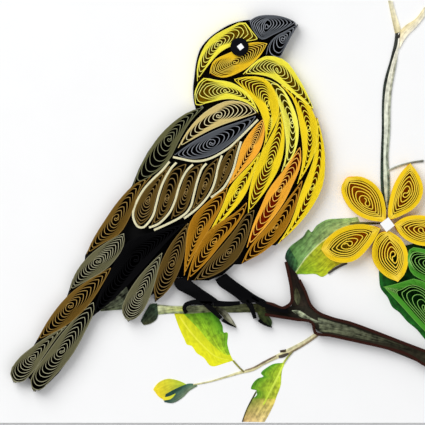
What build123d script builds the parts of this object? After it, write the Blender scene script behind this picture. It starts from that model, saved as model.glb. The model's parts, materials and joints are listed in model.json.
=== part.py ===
"""Quilled paper picture of a yellow bird on a branch beside a flower, lying flat on its card.

Frame: +Z up out of the card, +Y towards the top of the picture, +X to its right, and the
origin in the middle of the card's underside. Millimetres.

Every coil is one paper strip that stands on its edge and is wound inwards between two
pinched ends. A modelled turn stands for a bundle of thin turns that lie on each other.
"""
from build123d import *
from collections import namedtuple
import math
import os

# Card and backing
card_side = 127.0
card_thickness = 1.0
backing_thickness = 0.25
backing_shift_left = 0.3
backing_shift_down = 0.25

# Strips and how they are wound. The outermost turn lies inside the outline by the clearance,
# and its strip starts root_gap away from the root
strip_height = 3.0
bundle_thickness = 0.25
bundle_gap = 0.17
coil_turns = 3
coil_clearance = 0.1
root_gap = 0.7

# Least room between a turn's two sides: along them, and where the turn goes round
turn_room = 0.7
end_room = 0.1

# Sides are cut into equal facets. A turn goes round at most end_reach of a facet beyond its
# last corner, and a corner stays end_run away from there. The free end lies a share of the
# way from root to tip inside the last turn
side_facets = 6
end_reach = 0.6
end_run = 1.2
free_end_share = 0.15
share_samples = 60
miter_limit = 3.0

# Single strips
cream_thickness = 0.7
branch_thickness = 0.9
toe_thickness = 1.0
claw_thickness = 0.7
leg_strip_thickness = 0.3
leg_passes = 5

# Eye and flower centre
eye_diameter = 4.6
eye_thickness = 0.6
glint_side = 1.3
glint_thickness = 0.2
glint_turn = 38.0
centre_side = 2.6
centre_thickness = 0.6
centre_turn = 38.0

# The pattern is drawn in steps of a square grid: x runs right and y runs down
pattern_steps_across_card = 508
pattern_middle = (246, 169.5)
step = card_side / pattern_steps_across_card

# A coil's outline: two pinched ends, and the points of each side on the way from root to
# tip, where left is the left hand of someone who walks that way
Coil = namedtuple("Coil", "root left tip right")
Turn = namedtuple("Turn", "left right low high facets")

TAIL = {
    "tail_coil_1": Coil((14, 382), [(10.5, 375), (16.5, 362), (32, 347.5), (52, 335.5)], (69.5, 324.5),
                        [(30.5, 375), (45.5, 353.5), (58.5, 335.5)]),
    "tail_coil_2": Coil((34, 391), [(30.5, 381), (44.5, 358), (66, 330), (87, 308.5)], (94, 301.5),
                        [(50, 383), (70, 358), (85, 332), (93.5, 309)]),
    "tail_coil_3": Coil((37, 340.5), [(50, 318), (70, 294.5), (88, 281.5)], (111.5, 267),
                        [(60, 328.5), (85, 307.5), (103.5, 282)]),
    "tail_coil_4": Coil((69.5, 290.5), [(76, 272.5), (88, 257.5), (104, 245)], (124, 233),
                        [(87, 280), (111, 263.5), (124, 241)]),
    "back_coil_lower": Coil((86, 254.5), [(97, 234), (113, 208), (127, 191.5), (141, 182.5)], (152, 176.5),
                            [(103, 243.5), (119, 233), (130.5, 215), (139.5, 191)]),
    "back_coil_upper": Coil((133, 184.5), [(143.5, 160), (165, 129.5), (190, 111)], (205, 106.5),
                            [(150, 174.5), (165.5, 162.5), (177, 141), (189.5, 121)]),
}

RUMP = {
    "rump_coil_brown": Coil((156, 301.5), [(154.5, 288), (160, 267.5), (170, 246.5)], (188.5, 223),
                            [(168, 291.5), (179.5, 270), (185, 240)]),
    "rump_coil_olive": Coil((129, 321), [(122.5, 308), (131, 287.5), (148.5, 265.5)], (163, 251),
                            [(145.5, 307), (152, 289), (157, 269)]),
    "rump_coil_black": Coil((94.5, 315), [(98, 300), (111.5, 271), (128, 243.5), (147, 235.5)], (184, 225.5),
                            [(113, 299.5), (131.5, 281), (149.5, 260.5), (167.5, 240.5)]),
}

WING = {
    "shoulder_coil": Coil((177.5, 149), [(191.5, 125), (209.5, 108.5), (230, 101), (248.5, 106)],
                          (255.5, 112), [(192.5, 140), (220, 126), (240, 119)]),
    "covert_coil": Coil((174.5, 154.5), [(192.5, 142), (220, 128.5), (241, 121)], (256.5, 116),
                        [(190, 157.5), (210, 154.5), (230, 142.5), (248.5, 124.5)]),
    "wing_coil_1": Coil((140, 224), [(136, 215), (141, 201), (154.5, 182.5)], (169, 167),
                        [(149.5, 215), (156, 193.5), (164, 175.5)]),
    "wing_coil_2": Coil((152.5, 222.5), [(156.5, 212), (162.5, 192.5), (173, 171)], (186.5, 164),
                        [(163, 215.5), (172.5, 199.5), (179.5, 178)]),
    "wing_coil_3": Coil((172.5, 216.5), [(175, 207), (181.5, 188), (189.5, 171.5)], (202.5, 163.5),
                        [(184, 209), (191, 194), (196, 176)]),
    "wing_coil_4": Coil((191.5, 209.5), [(195.5, 202), (200.5, 184), (207, 169)], (217.5, 158.5),
                        [(201.5, 199.5), (210.5, 184), (215, 166)]),
    "wing_coil_5": Coil((212, 194), [(216, 186.5), (221, 167), (228.5, 153.5)], (237.5, 143),
                        [(221.5, 185), (230.5, 168), (235, 152)]),
}

HEAD = {
    "crown_coil": Coil((197.5, 79.5), [(198, 66), (204, 47.5), (219, 34), (236, 25), (246, 23.5), (252, 31)],
                       (259, 39.5), [(207, 67), (222, 51), (246, 41)]),
    "cheek_coil": Coil((210, 73), [(213, 63), (231, 53), (250, 43.5)], (267.5, 44),
                       [(221, 77.5), (240, 72), (258, 58.5)]),
    "beak_upper_coil": Coil((249, 21.5), [(256, 17), (270, 15), (285, 17)], (296, 22.5),
                            [(255.5, 31.5), (262, 39), (273.5, 34.5)]),
    "beak_lower_coil": Coil((267, 53), [(269.5, 45), (275, 38.5), (286.5, 31.5)], (298, 24.5),
                            [(279.5, 56), (284, 49.5), (291, 37)]),
    "nape_coil": Coil((195.5, 93), [(198.5, 85), (205, 79), (213, 80.5), (230, 83), (247, 94)], (256, 109.5),
                      [(195, 102), (204, 103.5), (232, 98.5), (247.5, 102.5)]),
    "throat_coil": Coil((243, 73.5), [(251, 67.5), (265, 57), (283, 60.5), (300, 80.5)], (314, 109.5),
                        [(256, 75), (277, 78.5), (298, 90)]),
}

BREAST = {
    "breast_coil_1": Coil((262, 149), [(266, 134), (261, 110), (249, 93)], (235.5, 79.5),
                          [(268.5, 136), (277.5, 113), (264.5, 83.5)]),
    "breast_coil_2": Coil((282, 170.5), [(286, 155), (285.5, 127), (274, 92)], (263, 78),
                          [(293, 155), (298.5, 127), (285.5, 95.5)]),
    "breast_coil_3": Coil((248.5, 213), [(250.5, 189), (261.5, 155.5), (276.5, 127)], (280.5, 112),
                          [(265, 192), (281, 162), (284, 132)]),
    "breast_coil_4": Coil((228, 185), [(236.5, 167.5), (242.5, 144.5), (255.5, 126)], (261, 121),
                          [(242.5, 171), (258.5, 149), (263, 130)]),
    "breast_coil_5": Coil((210, 231.5), [(222, 209), (232, 185.5), (251, 165)], (259.5, 153.5),
                          [(228, 215), (244, 195), (253.5, 170.5)]),
    "breast_coil_6": Coil((297, 184.5), [(302.5, 163), (300.5, 128), (291.5, 97)], (276, 81.5),
                          [(310.5, 162), (317.5, 135), (307, 102)]),
    "breast_coil_7": Coil((277, 244.5), [(290, 225), (301.5, 192), (315.5, 158)], (320.5, 131),
                          [(303, 220), (322.5, 187), (325, 155)]),
}

BELLY = {
    "belly_coil_1": Coil((247, 247.5), [(254, 221), (268.5, 191.5), (287, 168.5)], (300, 147),
                         [(266, 223.5), (289, 191.5), (300.5, 160)]),
    "belly_coil_2": Coil((242, 263.5), [(250.5, 247), (270.5, 223.5), (291.5, 195)], (303, 180),
                         [(263, 251.5), (282, 233), (296.5, 202)]),
    "belly_coil_3": Coil((184.5, 276.5), [(186, 251), (192, 219.5), (211, 201.5)], (226.5, 189.5),
                         [(194.5, 252.5), (210.5, 225.5), (222, 203)]),
    "belly_coil_4": Coil((187.5, 280.5), [(196, 257), (212, 233.5), (233, 215.5)], (246.5, 202.5),
                         [(208, 261), (228.5, 238), (242, 217)]),
    "belly_coil_5": Coil((194.5, 279.5), [(218, 254), (233.5, 235), (246, 218)], (255, 210.5),
                         [(219.5, 277), (239.5, 259), (248.5, 232)]),
}

FLOWER = {
    "petal_1": Coil((385, 221.5), [(364, 218), (346.5, 203.5), (341.5, 187)], (347, 177),
                    [(384.5, 204), (376.5, 186), (361, 176.5)]),
    "petal_2": Coil((389, 219), [(388.5, 204), (393, 184.5), (401.5, 170)], (410, 162.5),
                    [(406, 214.5), (421, 203), (421.5, 180)]),
    "petal_3": Coil((393.5, 225), [(404, 218.5), (421, 215.5), (439, 221)], (451, 233),
                    [(402, 236.5), (417, 244.5), (438, 244)]),
    "petal_4": Coil((388.5, 231), [(401.5, 240.5), (407.5, 256), (404.5, 274)], (398.5, 282),
                    [(376, 240), (372.5, 259), (386, 277)]),
    "petal_5": Coil((381, 227.5), [(369.5, 245), (352, 261), (330, 259)], (320.5, 249.5),
                    [(364, 224), (341, 228), (325.5, 240)]),
    "leaf_coil_lower": Coil((386, 291), [(391, 288), (400, 287), (412, 281), (427, 286.5), (440, 297)],
                            (466, 345), [(400, 305), (425, 332), (450, 352)]),
    "leaf_coil_upper": Coil((411, 262), [(412, 251), (428, 252), (452, 263)], (470, 288),
                            [(412, 271.5), (425, 281), (448, 292)]),
}

BIRD = {**TAIL, **RUMP, **WING, **HEAD, **BREAST, **BELLY}

# The cut edge of the backing: stretches of coil sides, as shares of the way to the tip
BACKING_EDGE = [
    ("beak_upper_coil", "left", 0, 1),
    ("beak_lower_coil", "right", 1, 0.26),
    ("throat_coil", "left", 0.42, 1),
    ("breast_coil_7", "right", 1, 0),
    ("belly_coil_2", "right", 0.33, 0),
    ("belly_coil_5", "right", 0.45, 0),
    ("belly_coil_4", "right", 0, 0),
    ("belly_coil_3", "right", 0, 0),
    ("rump_coil_brown", "right", 0.38, 0),
    ("rump_coil_brown", "left", 0.05, 0.1),
    ("rump_coil_olive", "right", 0.42, 0),
    ("rump_coil_olive", "left", 0.1, 0.35),
    ("rump_coil_black", "right", 0.3, 0),
    ("tail_coil_2", "right", 0.85, 0),
    ("tail_coil_2", "left", 0.05, 0.09),
    ("tail_coil_1", "right", 0.19, 0),
    ("tail_coil_1", "left", 0.05, 0.52),
    ("tail_coil_3", "left", 0, 0.5),
    ("tail_coil_4", "left", 0, 0.42),
    ("back_coil_lower", "left", 0, 0.72),
    ("back_coil_upper", "left", 0, 1),
    ("nape_coil", "right", 0.24, 0),
    ("nape_coil", "left", 0.06, 0.12),
    ("crown_coil", "left", 0, 0.8),
]

# Cream strips that outline the wing, each along its centre line
CREAM_STRIPS = {
    "covert_strip": [(173, 157), (182, 159), (192, 161), (201, 160.8), (210, 158.5), (220, 153.5),
                     (230, 147), (240, 137.5), (258, 119.5)],
    "wing_strip_1": [(169.5, 161.5), (162, 170.5), (152, 180), (144, 189), (137.5, 200), (134.5, 207),
                     (133, 215.5), (134.5, 221.5), (138.5, 227), (142.5, 227.5), (148, 223), (152.5, 216.5),
                     (156, 205), (159, 193.5), (163, 182.5), (168, 173), (172.5, 166.5), (176.5, 162.5)],
    "wing_strip_2": [(193, 164.5), (189, 168), (184, 175), (180, 184), (174.5, 202), (170.5, 211),
                     (165, 218), (158, 224), (149, 227.5)],
    "wing_strip_3": [(206.5, 163.5), (202.5, 168), (199, 176), (193.5, 196), (191, 205.5), (187, 212),
                     (180, 217.5), (170.5, 222.5), (154, 230)],
    "wing_strip_4": [(222, 155.5), (218.5, 165.5), (216, 177), (213, 187), (208.5, 195.5), (202, 203.5),
                     (194, 211), (184, 218.5)],
    "wing_strip_5": [(241, 141.5), (236.5, 157), (234, 167), (230, 177), (224, 187), (211, 197.5)],
}

# Dark strips along the edges of the branch
BRANCH_STRIPS = {
    "branch_edge_upper": [(299.5, 280), (305, 291), (311, 305.5), (316, 311), (331, 318), (350, 323),
                          (371, 330.5), (410, 345.5), (497, 377)],
    "branch_edge_lower": [(265, 314.5), (280, 317), (296, 319.5), (313, 323.5), (315, 332.5), (330, 335.5),
                          (360, 342), (390, 349), (405, 353.5), (425, 365), (497, 396)],
    "branch_shoot_edge": [(286, 262), (289, 275.5), (291.5, 290), (291, 303), (283, 308), (273, 304.5),
                          (266.5, 303)],
}

# Legs between two edges, from the body down to the foot
LEGS = {
    "leg_left": ([(192, 284.5), (216, 300)], [(177, 289), (196.5, 300.5)]),
    "leg_right": ([(230, 276.5), (258, 296.5)], [(219.5, 284), (241, 300.5)]),
}

# Toes, and claws at their ends, each along its centre line
TOES = {
    "toes_left": [[(187, 313), (184.5, 307.5), (187, 304.5), (240, 304.5)],
                  [(207, 308.5), (213, 314), (220, 318.5)]],
    "toes_right": [[(251, 302.5), (254, 310), (256.5, 317)],
                   [(262, 307), (269, 309.5), (279, 313)]],
}
CLAWS = {
    "toes_left": [[(222.5, 320), (229, 324), (236, 327.5)]],
    "toes_right": [[(259, 320), (264, 324), (272, 327.5)]],
}

eye_spot = (239.5, 47)
glint_spot = (240.5, 47)
flower_spot = (387.3, 224.6)


def spot(point):
    """The place on the card of a point of the pattern."""
    x, y = point
    return Vector((x - pattern_middle[0]) * step, (pattern_middle[1] - y) * step)


def parallel(line, distance):
    """The line at a distance to the right of the given one, with mitred corners."""
    headings = [(after - before).normalized() for before, after in zip(line, line[1:])]
    sides = [Vector(heading.Y, -heading.X) for heading in headings]
    shifted = []
    for point, before, after in zip(line, sides[:1] + sides, sides + sides[-1:]):
        middle = (before + after).normalized()
        reach = min(1 / middle.dot(after), miter_limit)
        shifted.append(point + middle * (reach * distance))
    return shifted


def standing_strip(outer, inner, base):
    """Paper between two lines, standing on its edge at the height of its base."""
    outline = Polyline(*outer, *reversed(inner), close=True)
    return Pos(0, 0, base) * extrude(make_face(outline), amount=strip_height)


def plain_strip(points, thickness, base):
    """A strip along its centre line, without turns."""
    centre_line = [spot(point) for point in points]
    return standing_strip(parallel(centre_line, -thickness / 2), parallel(centre_line, thickness / 2), base)


def side_line(coil, side):
    """One side of a coil's outline, in even facets from root to tip."""
    curve = Spline(*[spot(point) for point in (coil.root, *side, coil.tip)])
    return [curve @ (k / side_facets) for k in range(side_facets + 1)]


def coil_length(coil):
    """From pinched end to pinched end."""
    return (spot(coil.tip) - spot(coil.root)).length


def at_share(line, share):
    """The point at a share of the way along a line of even facets."""
    place = share * side_facets
    k = min(int(place), side_facets - 1)
    return line[k] + (line[k + 1] - line[k]) * (place - k)


def midway(left, right, share):
    """The point midway between two sides."""
    return (at_share(left, share) + at_share(right, share)) / 2


def room_at(left, right, share):
    """How far apart two sides of a turn lie, measured square to their middle line."""
    nudge = 1 / share_samples
    ahead = midway(left, right, share + nudge) - midway(left, right, share - nudge)
    across = Vector(-ahead.Y, ahead.X).normalized()
    return (at_share(left, share) - at_share(right, share)).dot(across)


def nested_turns(coil):
    """Each turn's two sides, the shares where it turns round, and its facets between them.

    A turn inside another one has the facets that have room for it, without the two at the
    ends, so that the turns also draw in from the pinched ends.
    """
    left = side_line(coil, coil.left)
    right = side_line(coil, coil.right)
    length = coil_length(coil)
    run = end_run / length
    turns = []
    facets = range(1, side_facets)
    for number in range(coil_turns):
        depth = coil_clearance + number * (bundle_thickness + bundle_gap)
        turn_left = parallel(left, depth)
        turn_right = parallel(right, -depth)
        if number > 1:
            facets = facets[1:-1]
        facets = [k for k in facets if room_at(turn_left, turn_right, k / side_facets) > turn_room]
        if not facets:
            break
        low = root_gap / length
        high = 1
        if number:
            samples = [k / share_samples for k in range(1, share_samples)]
            open_shares = [share for share in samples if room_at(turn_left, turn_right, share) > end_room]
            low = open_shares[0]
            high = open_shares[-1]
        facets = [k for k in facets if low + run < k / side_facets < high - run]
        if not facets:
            break
        if number:
            low = max(low, (facets[0] - end_reach) / side_facets)
            high = min(high, (facets[-1] + end_reach) / side_facets)
        turns.append(Turn(turn_left, turn_right, low, high, facets))
    return turns


def winding(coil):
    """The outer face of a coil's strip, from the root up the left side and inwards.

    Each turn lies one pitch inside the one before. Its two ends draw in from the pinched
    ends, and its sides start where both of them have room. It comes back along its right
    side, though not to the last corner of the turn outside it, and without a corner on that
    side the strip ends on the left one.
    """
    turns = nested_turns(coil)
    run = end_run / coil_length(coil)
    line = [at_share(turns[0].left, turns[0].low)]
    last_corner = 0
    for turn, following in zip(turns, turns[1:] + [None]):
        line += [turn.left[k] for k in turn.facets]
        stop = following.low + run if following else turn.low + free_end_share
        way_back = [k for k in reversed(turn.facets) if k / side_facets > stop and k > last_corner]
        if not way_back:
            break
        line.append(midway(turn.left, turn.right, turn.high))
        line += [turn.right[k] for k in way_back]
        last_corner = way_back[-1]
        if following:
            line.append(midway(following.left, following.right, following.low))
    return line


def wound_coil(coil, base):
    """A coil's strip on what carries it."""
    outer = winding(coil)
    return standing_strip(outer, parallel(outer, bundle_thickness), base)


def bird_backing():
    """Black paper under the whole bird, a little to the left of it and below it."""
    outline = []
    for name, side, start, end in BACKING_EDGE:
        line = side_line(BIRD[name], getattr(BIRD[name], side))
        facets = math.ceil(abs(end - start) * side_facets)
        outline.append(at_share(line, start))
        outline += [at_share(line, start + (end - start) * k / facets) for k in range(1, facets + 1)]
    place = Pos(-backing_shift_left, -backing_shift_down, card_thickness)
    return place * extrude(make_face(Polyline(*outline, close=True)), amount=backing_thickness)


def folded_leg(upper, lower):
    """One strip folded to and fro between the two edges of a leg."""
    upper_edge = [spot(point) for point in upper]
    lower_edge = [spot(point) for point in lower]
    line = []
    for number in range(leg_passes):
        share = number / (leg_passes - 1)
        ends = [start + (end - start) * share for start, end in zip(upper_edge, lower_edge)]
        if number % 2:
            ends.reverse()
        line += ends
    half = leg_strip_thickness / 2
    return standing_strip(parallel(line, -half), parallel(line, half), card_thickness)


def tile(place, side, turn, thickness, base):
    """A square of paper, turned on its place."""
    where = spot(place)
    return Pos(where.X, where.Y, base) * Rot(0, 0, turn) * extrude(Rectangle(side, side), amount=thickness)


def build():
    """Every sub-part by the name of its node."""
    backing_top = card_thickness + backing_thickness
    bird_top = backing_top + strip_height
    eye_top = bird_top + eye_thickness
    nodes = {"card": Pos(0, 0, card_thickness / 2) * Box(card_side, card_side, card_thickness)}
    nodes["bird_backing"] = bird_backing()
    for name, coil in BIRD.items():
        nodes[name] = wound_coil(coil, backing_top)
    for name, coil in FLOWER.items():
        nodes[name] = wound_coil(coil, card_thickness)
    for name, points in CREAM_STRIPS.items():
        nodes[name] = plain_strip(points, cream_thickness, backing_top)
    for name, points in BRANCH_STRIPS.items():
        nodes[name] = plain_strip(points, branch_thickness, card_thickness)
    for name, (upper, lower) in LEGS.items():
        nodes[name] = folded_leg(upper, lower)
    for name in TOES:
        toes = [plain_strip(points, toe_thickness, card_thickness) for points in TOES[name]]
        claws = [plain_strip(points, claw_thickness, card_thickness) for points in CLAWS[name]]
        nodes[name] = Compound(children=toes + claws)
    eye_place = spot(eye_spot)
    eye_disc = extrude(Circle(eye_diameter / 2), amount=eye_thickness)
    nodes["eye"] = Pos(eye_place.X, eye_place.Y, bird_top) * eye_disc
    nodes["eye_glint"] = tile(glint_spot, glint_side, glint_turn, glint_thickness, eye_top)
    flower_top = card_thickness + strip_height
    nodes["flower_centre"] = tile(flower_spot, centre_side, centre_turn, centre_thickness, flower_top)
    return nodes


os.makedirs("parts", exist_ok=True)
for node_name, shape in build().items():
    export_step(shape, f"parts/{node_name}.step")
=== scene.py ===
"""Dress the quilled bird picture: wound paper strips, card, print, light and camera.

The pattern sheet is a square grid: x runs right, y runs down, and place() turns its points
into metres. Every surface is worked out with numpy from the formula in its docstring.
"""

from collections import namedtuple
import json
import math

import bpy
import numpy as np
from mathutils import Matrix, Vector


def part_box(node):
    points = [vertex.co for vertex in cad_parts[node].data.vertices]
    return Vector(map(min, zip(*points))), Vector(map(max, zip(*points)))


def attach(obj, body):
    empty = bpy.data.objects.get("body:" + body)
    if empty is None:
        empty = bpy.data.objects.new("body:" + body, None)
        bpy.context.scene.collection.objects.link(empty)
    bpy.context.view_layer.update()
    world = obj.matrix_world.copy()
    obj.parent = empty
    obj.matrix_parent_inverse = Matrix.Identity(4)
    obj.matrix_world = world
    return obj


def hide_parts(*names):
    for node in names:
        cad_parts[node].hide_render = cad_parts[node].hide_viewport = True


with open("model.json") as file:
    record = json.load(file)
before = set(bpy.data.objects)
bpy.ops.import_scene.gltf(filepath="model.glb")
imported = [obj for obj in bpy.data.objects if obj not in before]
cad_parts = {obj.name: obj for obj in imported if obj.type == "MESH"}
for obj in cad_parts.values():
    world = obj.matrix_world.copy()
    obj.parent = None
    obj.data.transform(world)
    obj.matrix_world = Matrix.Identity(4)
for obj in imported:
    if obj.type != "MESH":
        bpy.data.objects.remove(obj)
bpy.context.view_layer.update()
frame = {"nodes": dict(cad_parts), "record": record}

bl_info = {
    "name": "Quilled bird picture",
    "version": (1, 0, 0),
    "blender": (4, 5, 0),
    "location": "3D View > Sidebar > Quilling",
    "description": "Winds, folds and prints the paper pieces of a quilled bird picture",
    "category": "Add Mesh",
}

# Pattern sheet, in metres a step, and the step that lies on the frame's origin
STEP = 0.00025
PATTERN_MIDDLE = np.array([246.0, 169.5])

# Photograph: a square of this many steps, seen from this height above the strips' top edges
VIEW_STEPS = 425
VIEW_MIDDLE = (212.5, 212.5)
VIEW_HEIGHT = 1.1

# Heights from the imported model, and the paper of each of its nodes
CARD_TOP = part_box("card")[1].z
BACKING_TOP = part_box("bird_backing")[1].z
STRIP_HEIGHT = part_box("petal_1")[1].z - CARD_TOP
SLOT_OF = {row["node"]: row["material_slot"] for row in frame["record"]["subparts"]}

# Print lies on the card in layers this far apart. A brush's bristle marks are this far apart,
# a stroke of it runs this far, and each field's noise starts this many cells from the last one's
INK_LAYER = 0.00001
BRISTLE = 0.0006
STROKE = 0.004
FIELD_SHIFT = 7.3

# Thickness of the sheet of painted shade under a coil, and its shares from root to tip and
# from side to side
PAINTED_SHADE_SHEET = 0.00008
PAINTED_SHADE_ALONG = np.linspace(0.03, 0.97, 41)
PAINTED_SHADE_OVER = np.array([0.07, 0.5, 0.93])

# How much lower a bundle's outer strips stand, and the gap between two strips
BUNDLE_STEP = 0.00003
BUNDLE_GAP = 0.00002

# Points along a coil's outline, round a turn's end, along its side and round half its heart
OUTLINE_POINTS = 601
END_POINTS = 7
SIDE_POINTS = 13
HEART_POINTS = 9

# Points along the head's rim, a bundle and a leg or toe, and along and over a printed field
RIM_POINTS = 40
BUNDLE_POINTS = 70
FOOT_POINTS = 30
FIELD_ALONG = 60
FIELD_OVER = 13

# How a strip winds, in metres: how far inside a turn's end the outline's half width is read,
# the shortest round end, and the least half width of a turn
END_PROBE = 0.0011
SHORTEST_END = 0.0002
LEAST_HALF_WIDTH = 0.00004

# How a strip winds, as shares: the least lean that counts, how far the heart may sit off the
# middle, the innermost turn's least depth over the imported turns', and the pull's spread
LEAST_LEAN = 0.4
HEART_SHIFT = 0.2
LEAST_LOOSE = 1.02
PULL_SPREAD = 0.009

# Half the innermost turn's length over its width, the share of that which every turn's ends
# keep from the heart, and the most of a turn's length that one round end takes
HEART_LENGTH = 0.7
HEART_CLEAR = 0.6
LONGEST_END = 0.49

# Turns over which the root's power grows, and its share at the start
ROOT_TURNS = 2
ROOT_START = 0.02

# The heart's half circles: how far they stick out over its width, and the share of the second
HOOK_BULGE = 0.38
HOOK_END = 0.72

# How free a coil's top edges stand: at the ends of turns, less the cube of the squeeze there,
# on loose turns and on the outermost turn. Then those of an outline, a leg and a toe
FREE_AT_ENDS = 1.15
FREE_LOOSE = 0.75
FREE_OUTSIDE = 0.45
FREE_OUTLINE = 0.4
FREE_LEG = 0.8
FREE_TOE = 0.5

# Tones of dye from turn to turn of a coil, and along a bundle
COIL_TONES = (0.9, 1.0)
BUNDLE_TONES = (0.86, 1)

# A strip's bends: least square of half a bend's cosine, and the most that a bend widens it
SHARPEST_BEND = 0.2
WIDEST_MITER = 1.4

# Edges that turn by more degrees than this look sharp
SHARP_EDGE = 35

# Point values by how many numbers each has: the attribute's type, and the field of its data
VALUE_KINDS = {1: ("FLOAT", "value"), 3: ("FLOAT_VECTOR", "vector"), 4: ("FLOAT_COLOR", "color")}

# Numbered sockets of a Mix node set to colours: factor, both colours, and result
FACTOR, FIRST, SECOND, MIXED = 0, 6, 7, 2

# Noise on paper, one over the size of its marks in metres: pulp of 0.19 mm on strips and of
# 0.33 mm on board, both coarser than real so that they show, marks of 1.1 mm for blots of ink,
# the table and the eye, and clouds of dye of 3.8 mm on strips and of 11 mm on board
STRIP_PULP = 5200.0
BOARD_PULP = 3000.0
COARSE_MARKS = 900.0
STRIP_CLOUD = 260.0
BOARD_CLOUD = 90.0

# Heights of the pulp's bump, how far a cloud of dye changes a strip's shade, the share of a
# sheet's colour where its cloud is darkest, and the least share of an ink that a wash leaves
STRIP_TOOTH = 0.00003
BOARD_TOOTH = 0.00002
CLOUD_SWING = 0.16
DARKEST_CLOUD = 0.965
DARKEST_WASH = 0.12

# A coil's outline has a root, a left side, a tip and a right side; its heart is where the
# strip was wound from
Coil = namedtuple("Coil", "root left tip right heart")

# How a coil sits: the share of its half width that packed turns fill, how many loose turns
# follow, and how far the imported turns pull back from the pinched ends, with the bend of that
# pull. Then for root and tip: how long a turn's end is over its half width, and how pointed.
# Stout is the strip's thickness and pitch over the usual ones, and heart the innermost turn's
# width. Swell is how far the loose turns change from an even distance inside the outline to
# smaller copies of it
Winding = namedtuple("Winding", "packed loose pull bend root_round tip_round root_point tip_point stout"
                     " heart swell", defaults=(1.0, 0.0))
TAIL = Winding(packed=0.68, loose=1, pull=0.88, bend=1.2, root_round=1.4, tip_round=2.1, root_point=0.9,
               tip_point=1.5, stout=0.88)
FEATHER = Winding(packed=0.78, loose=1, pull=0.88, bend=1.2, root_round=1.9, tip_round=1.7, root_point=1.3,
                  tip_point=1.3, stout=1.0)
QUILL = Winding(packed=0.64, loose=1, pull=0.88, bend=1.2, root_round=1.5, tip_round=1.5, root_point=1.1,
                tip_point=1.1, stout=1.0)
WING = QUILL._replace(packed=0.8)
BEAK = QUILL._replace(packed=0.56)
HEAD = FEATHER._replace(packed=0.73, stout=0.9)
PETAL = Winding(packed=0.3, loose=5, pull=0.16, bend=1.0, root_round=2.6, tip_round=2.6, root_point=1.0,
                tip_point=1.0, stout=1.27, heart=1.9, swell=0.75)
LEAF = Winding(packed=0.34, loose=5, pull=0.34, bend=1.0, root_round=1.6, tip_round=2.0, root_point=1.0,
               tip_point=1.2, stout=0.85, heart=1.3, swell=0.7)

TAIL_COILS = {
    "tail_coil_1": Coil((16, 383), [(11.4, 379.4), (10, 372.6), (16.2, 361), (32, 346.8), (52, 333.4)],
        (69.6, 323.6), [(22.6, 382.2), (31.4, 374.6), (45.8, 354), (58.5, 336)], (32.4, 358)),
    "tail_coil_2": Coil((35.4, 392),
        [(30.8, 387.4), (30.4, 379.6), (36.6, 367.4), (44.3, 356.8), (66, 328), (87, 305.6)], (94.6, 300.3),
        [(42, 389.8), (51, 380.6), (70.4, 358.4), (85.4, 332), (94.8, 308.5)], (61.6, 351)),
    "tail_coil_3": Coil((36.8, 340.5), [(49.4, 318), (69.6, 293.8), (88, 280)], (112.6, 266.3),
        [(60, 330), (85.4, 309.6), (104.6, 281.5)], (70, 306)),
    "tail_coil_4": Coil((69.3, 290.8), [(75.6, 272.5), (88, 256.4), (104, 243.6)], (124.6, 232),
        [(87, 281.4), (111.4, 265), (125, 241)], (98, 261)),
    "back_coil_lower": Coil((86, 255), [(90, 245), (105, 219.5), (120, 198.5), (134, 184.5)],
        (153.5, 174.5), [(103, 244), (119.5, 234.5), (131.3, 215), (140.5, 191)], (115, 218)),
    "back_coil_upper": Coil((133, 185), [(143.5, 160), (165, 129.4), (190, 111)], (206, 106),
        [(150.6, 177), (169, 161), (179.5, 141), (191.5, 121)], (169, 139)),
    "rump_coil_brown": Coil((156, 301.3), [(153.8, 288), (159, 267.5), (169, 246.5)], (189.3, 221),
        [(168, 291.5), (180, 270), (187, 240)], (172, 264)),
    "rump_coil_olive": Coil((129, 320.9),
        [(124, 317.6), (121.8, 308.6), (125.4, 297.6), (131, 287.5), (148.2, 265.5)], (163.2, 251),
        [(134.8, 319.6), (143.2, 311.8), (148, 303), (153.4, 289), (159, 269)], (140, 294)),
    "rump_coil_black": Coil((93.5, 316), [(97, 300), (110.5, 271), (127, 242), (147, 233.5)], (186, 223.5),
        [(113, 300.5), (132.5, 281), (151, 260.5), (168.5, 240.5)], (139, 262)),
}

COVERT_COILS = {
    "shoulder_coil": Coil((177.3, 148.8), [(191.5, 125), (209.5, 108.5), (230, 100.3), (249.5, 105)],
        (258, 113.3), [(192.5, 140), (220, 126.3), (240, 119.4)], (218.6, 115.4)),
    "covert_coil": Coil((174, 155), [(192.5, 141.7), (220, 128), (241, 120.8)], (258, 114.6),
        [(190, 159.3), (210, 156.3), (230, 144.5), (249.5, 126)], (211.4, 143)),
}

WING_COILS = {
    "wing_coil_1": Coil((140, 227), [(134.5, 216), (138.5, 200), (152.5, 181)], (172, 163.5),
        [(151, 216), (157.8, 193.5), (165.5, 176)], (148, 200)),
    "wing_coil_2": Coil((151, 226), [(156, 212), (161.5, 192.5), (171.5, 170.5)], (188.5, 162.5),
        [(164.5, 217), (174, 199.5), (181.5, 178)], (167, 198)),
    "wing_coil_3": Coil((171, 219.5), [(174, 207), (180.8, 188), (188, 171.5)], (204, 162.5),
        [(185.5, 210.5), (192.5, 194), (198, 176)], (186, 192)),
    "wing_coil_4": Coil((189.5, 213), [(194.5, 202), (199, 184), (205.5, 169)], (220, 156.3),
        [(203, 200.5), (212, 184), (217, 166)], (205, 185)),
    "wing_coil_5": Coil((208.5, 198), [(215, 186.5), (219, 167), (227, 152.5)], (239.8, 138.5),
        [(222.5, 185.5), (232, 168), (236.5, 152)], (225.5, 169)),
}

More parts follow.
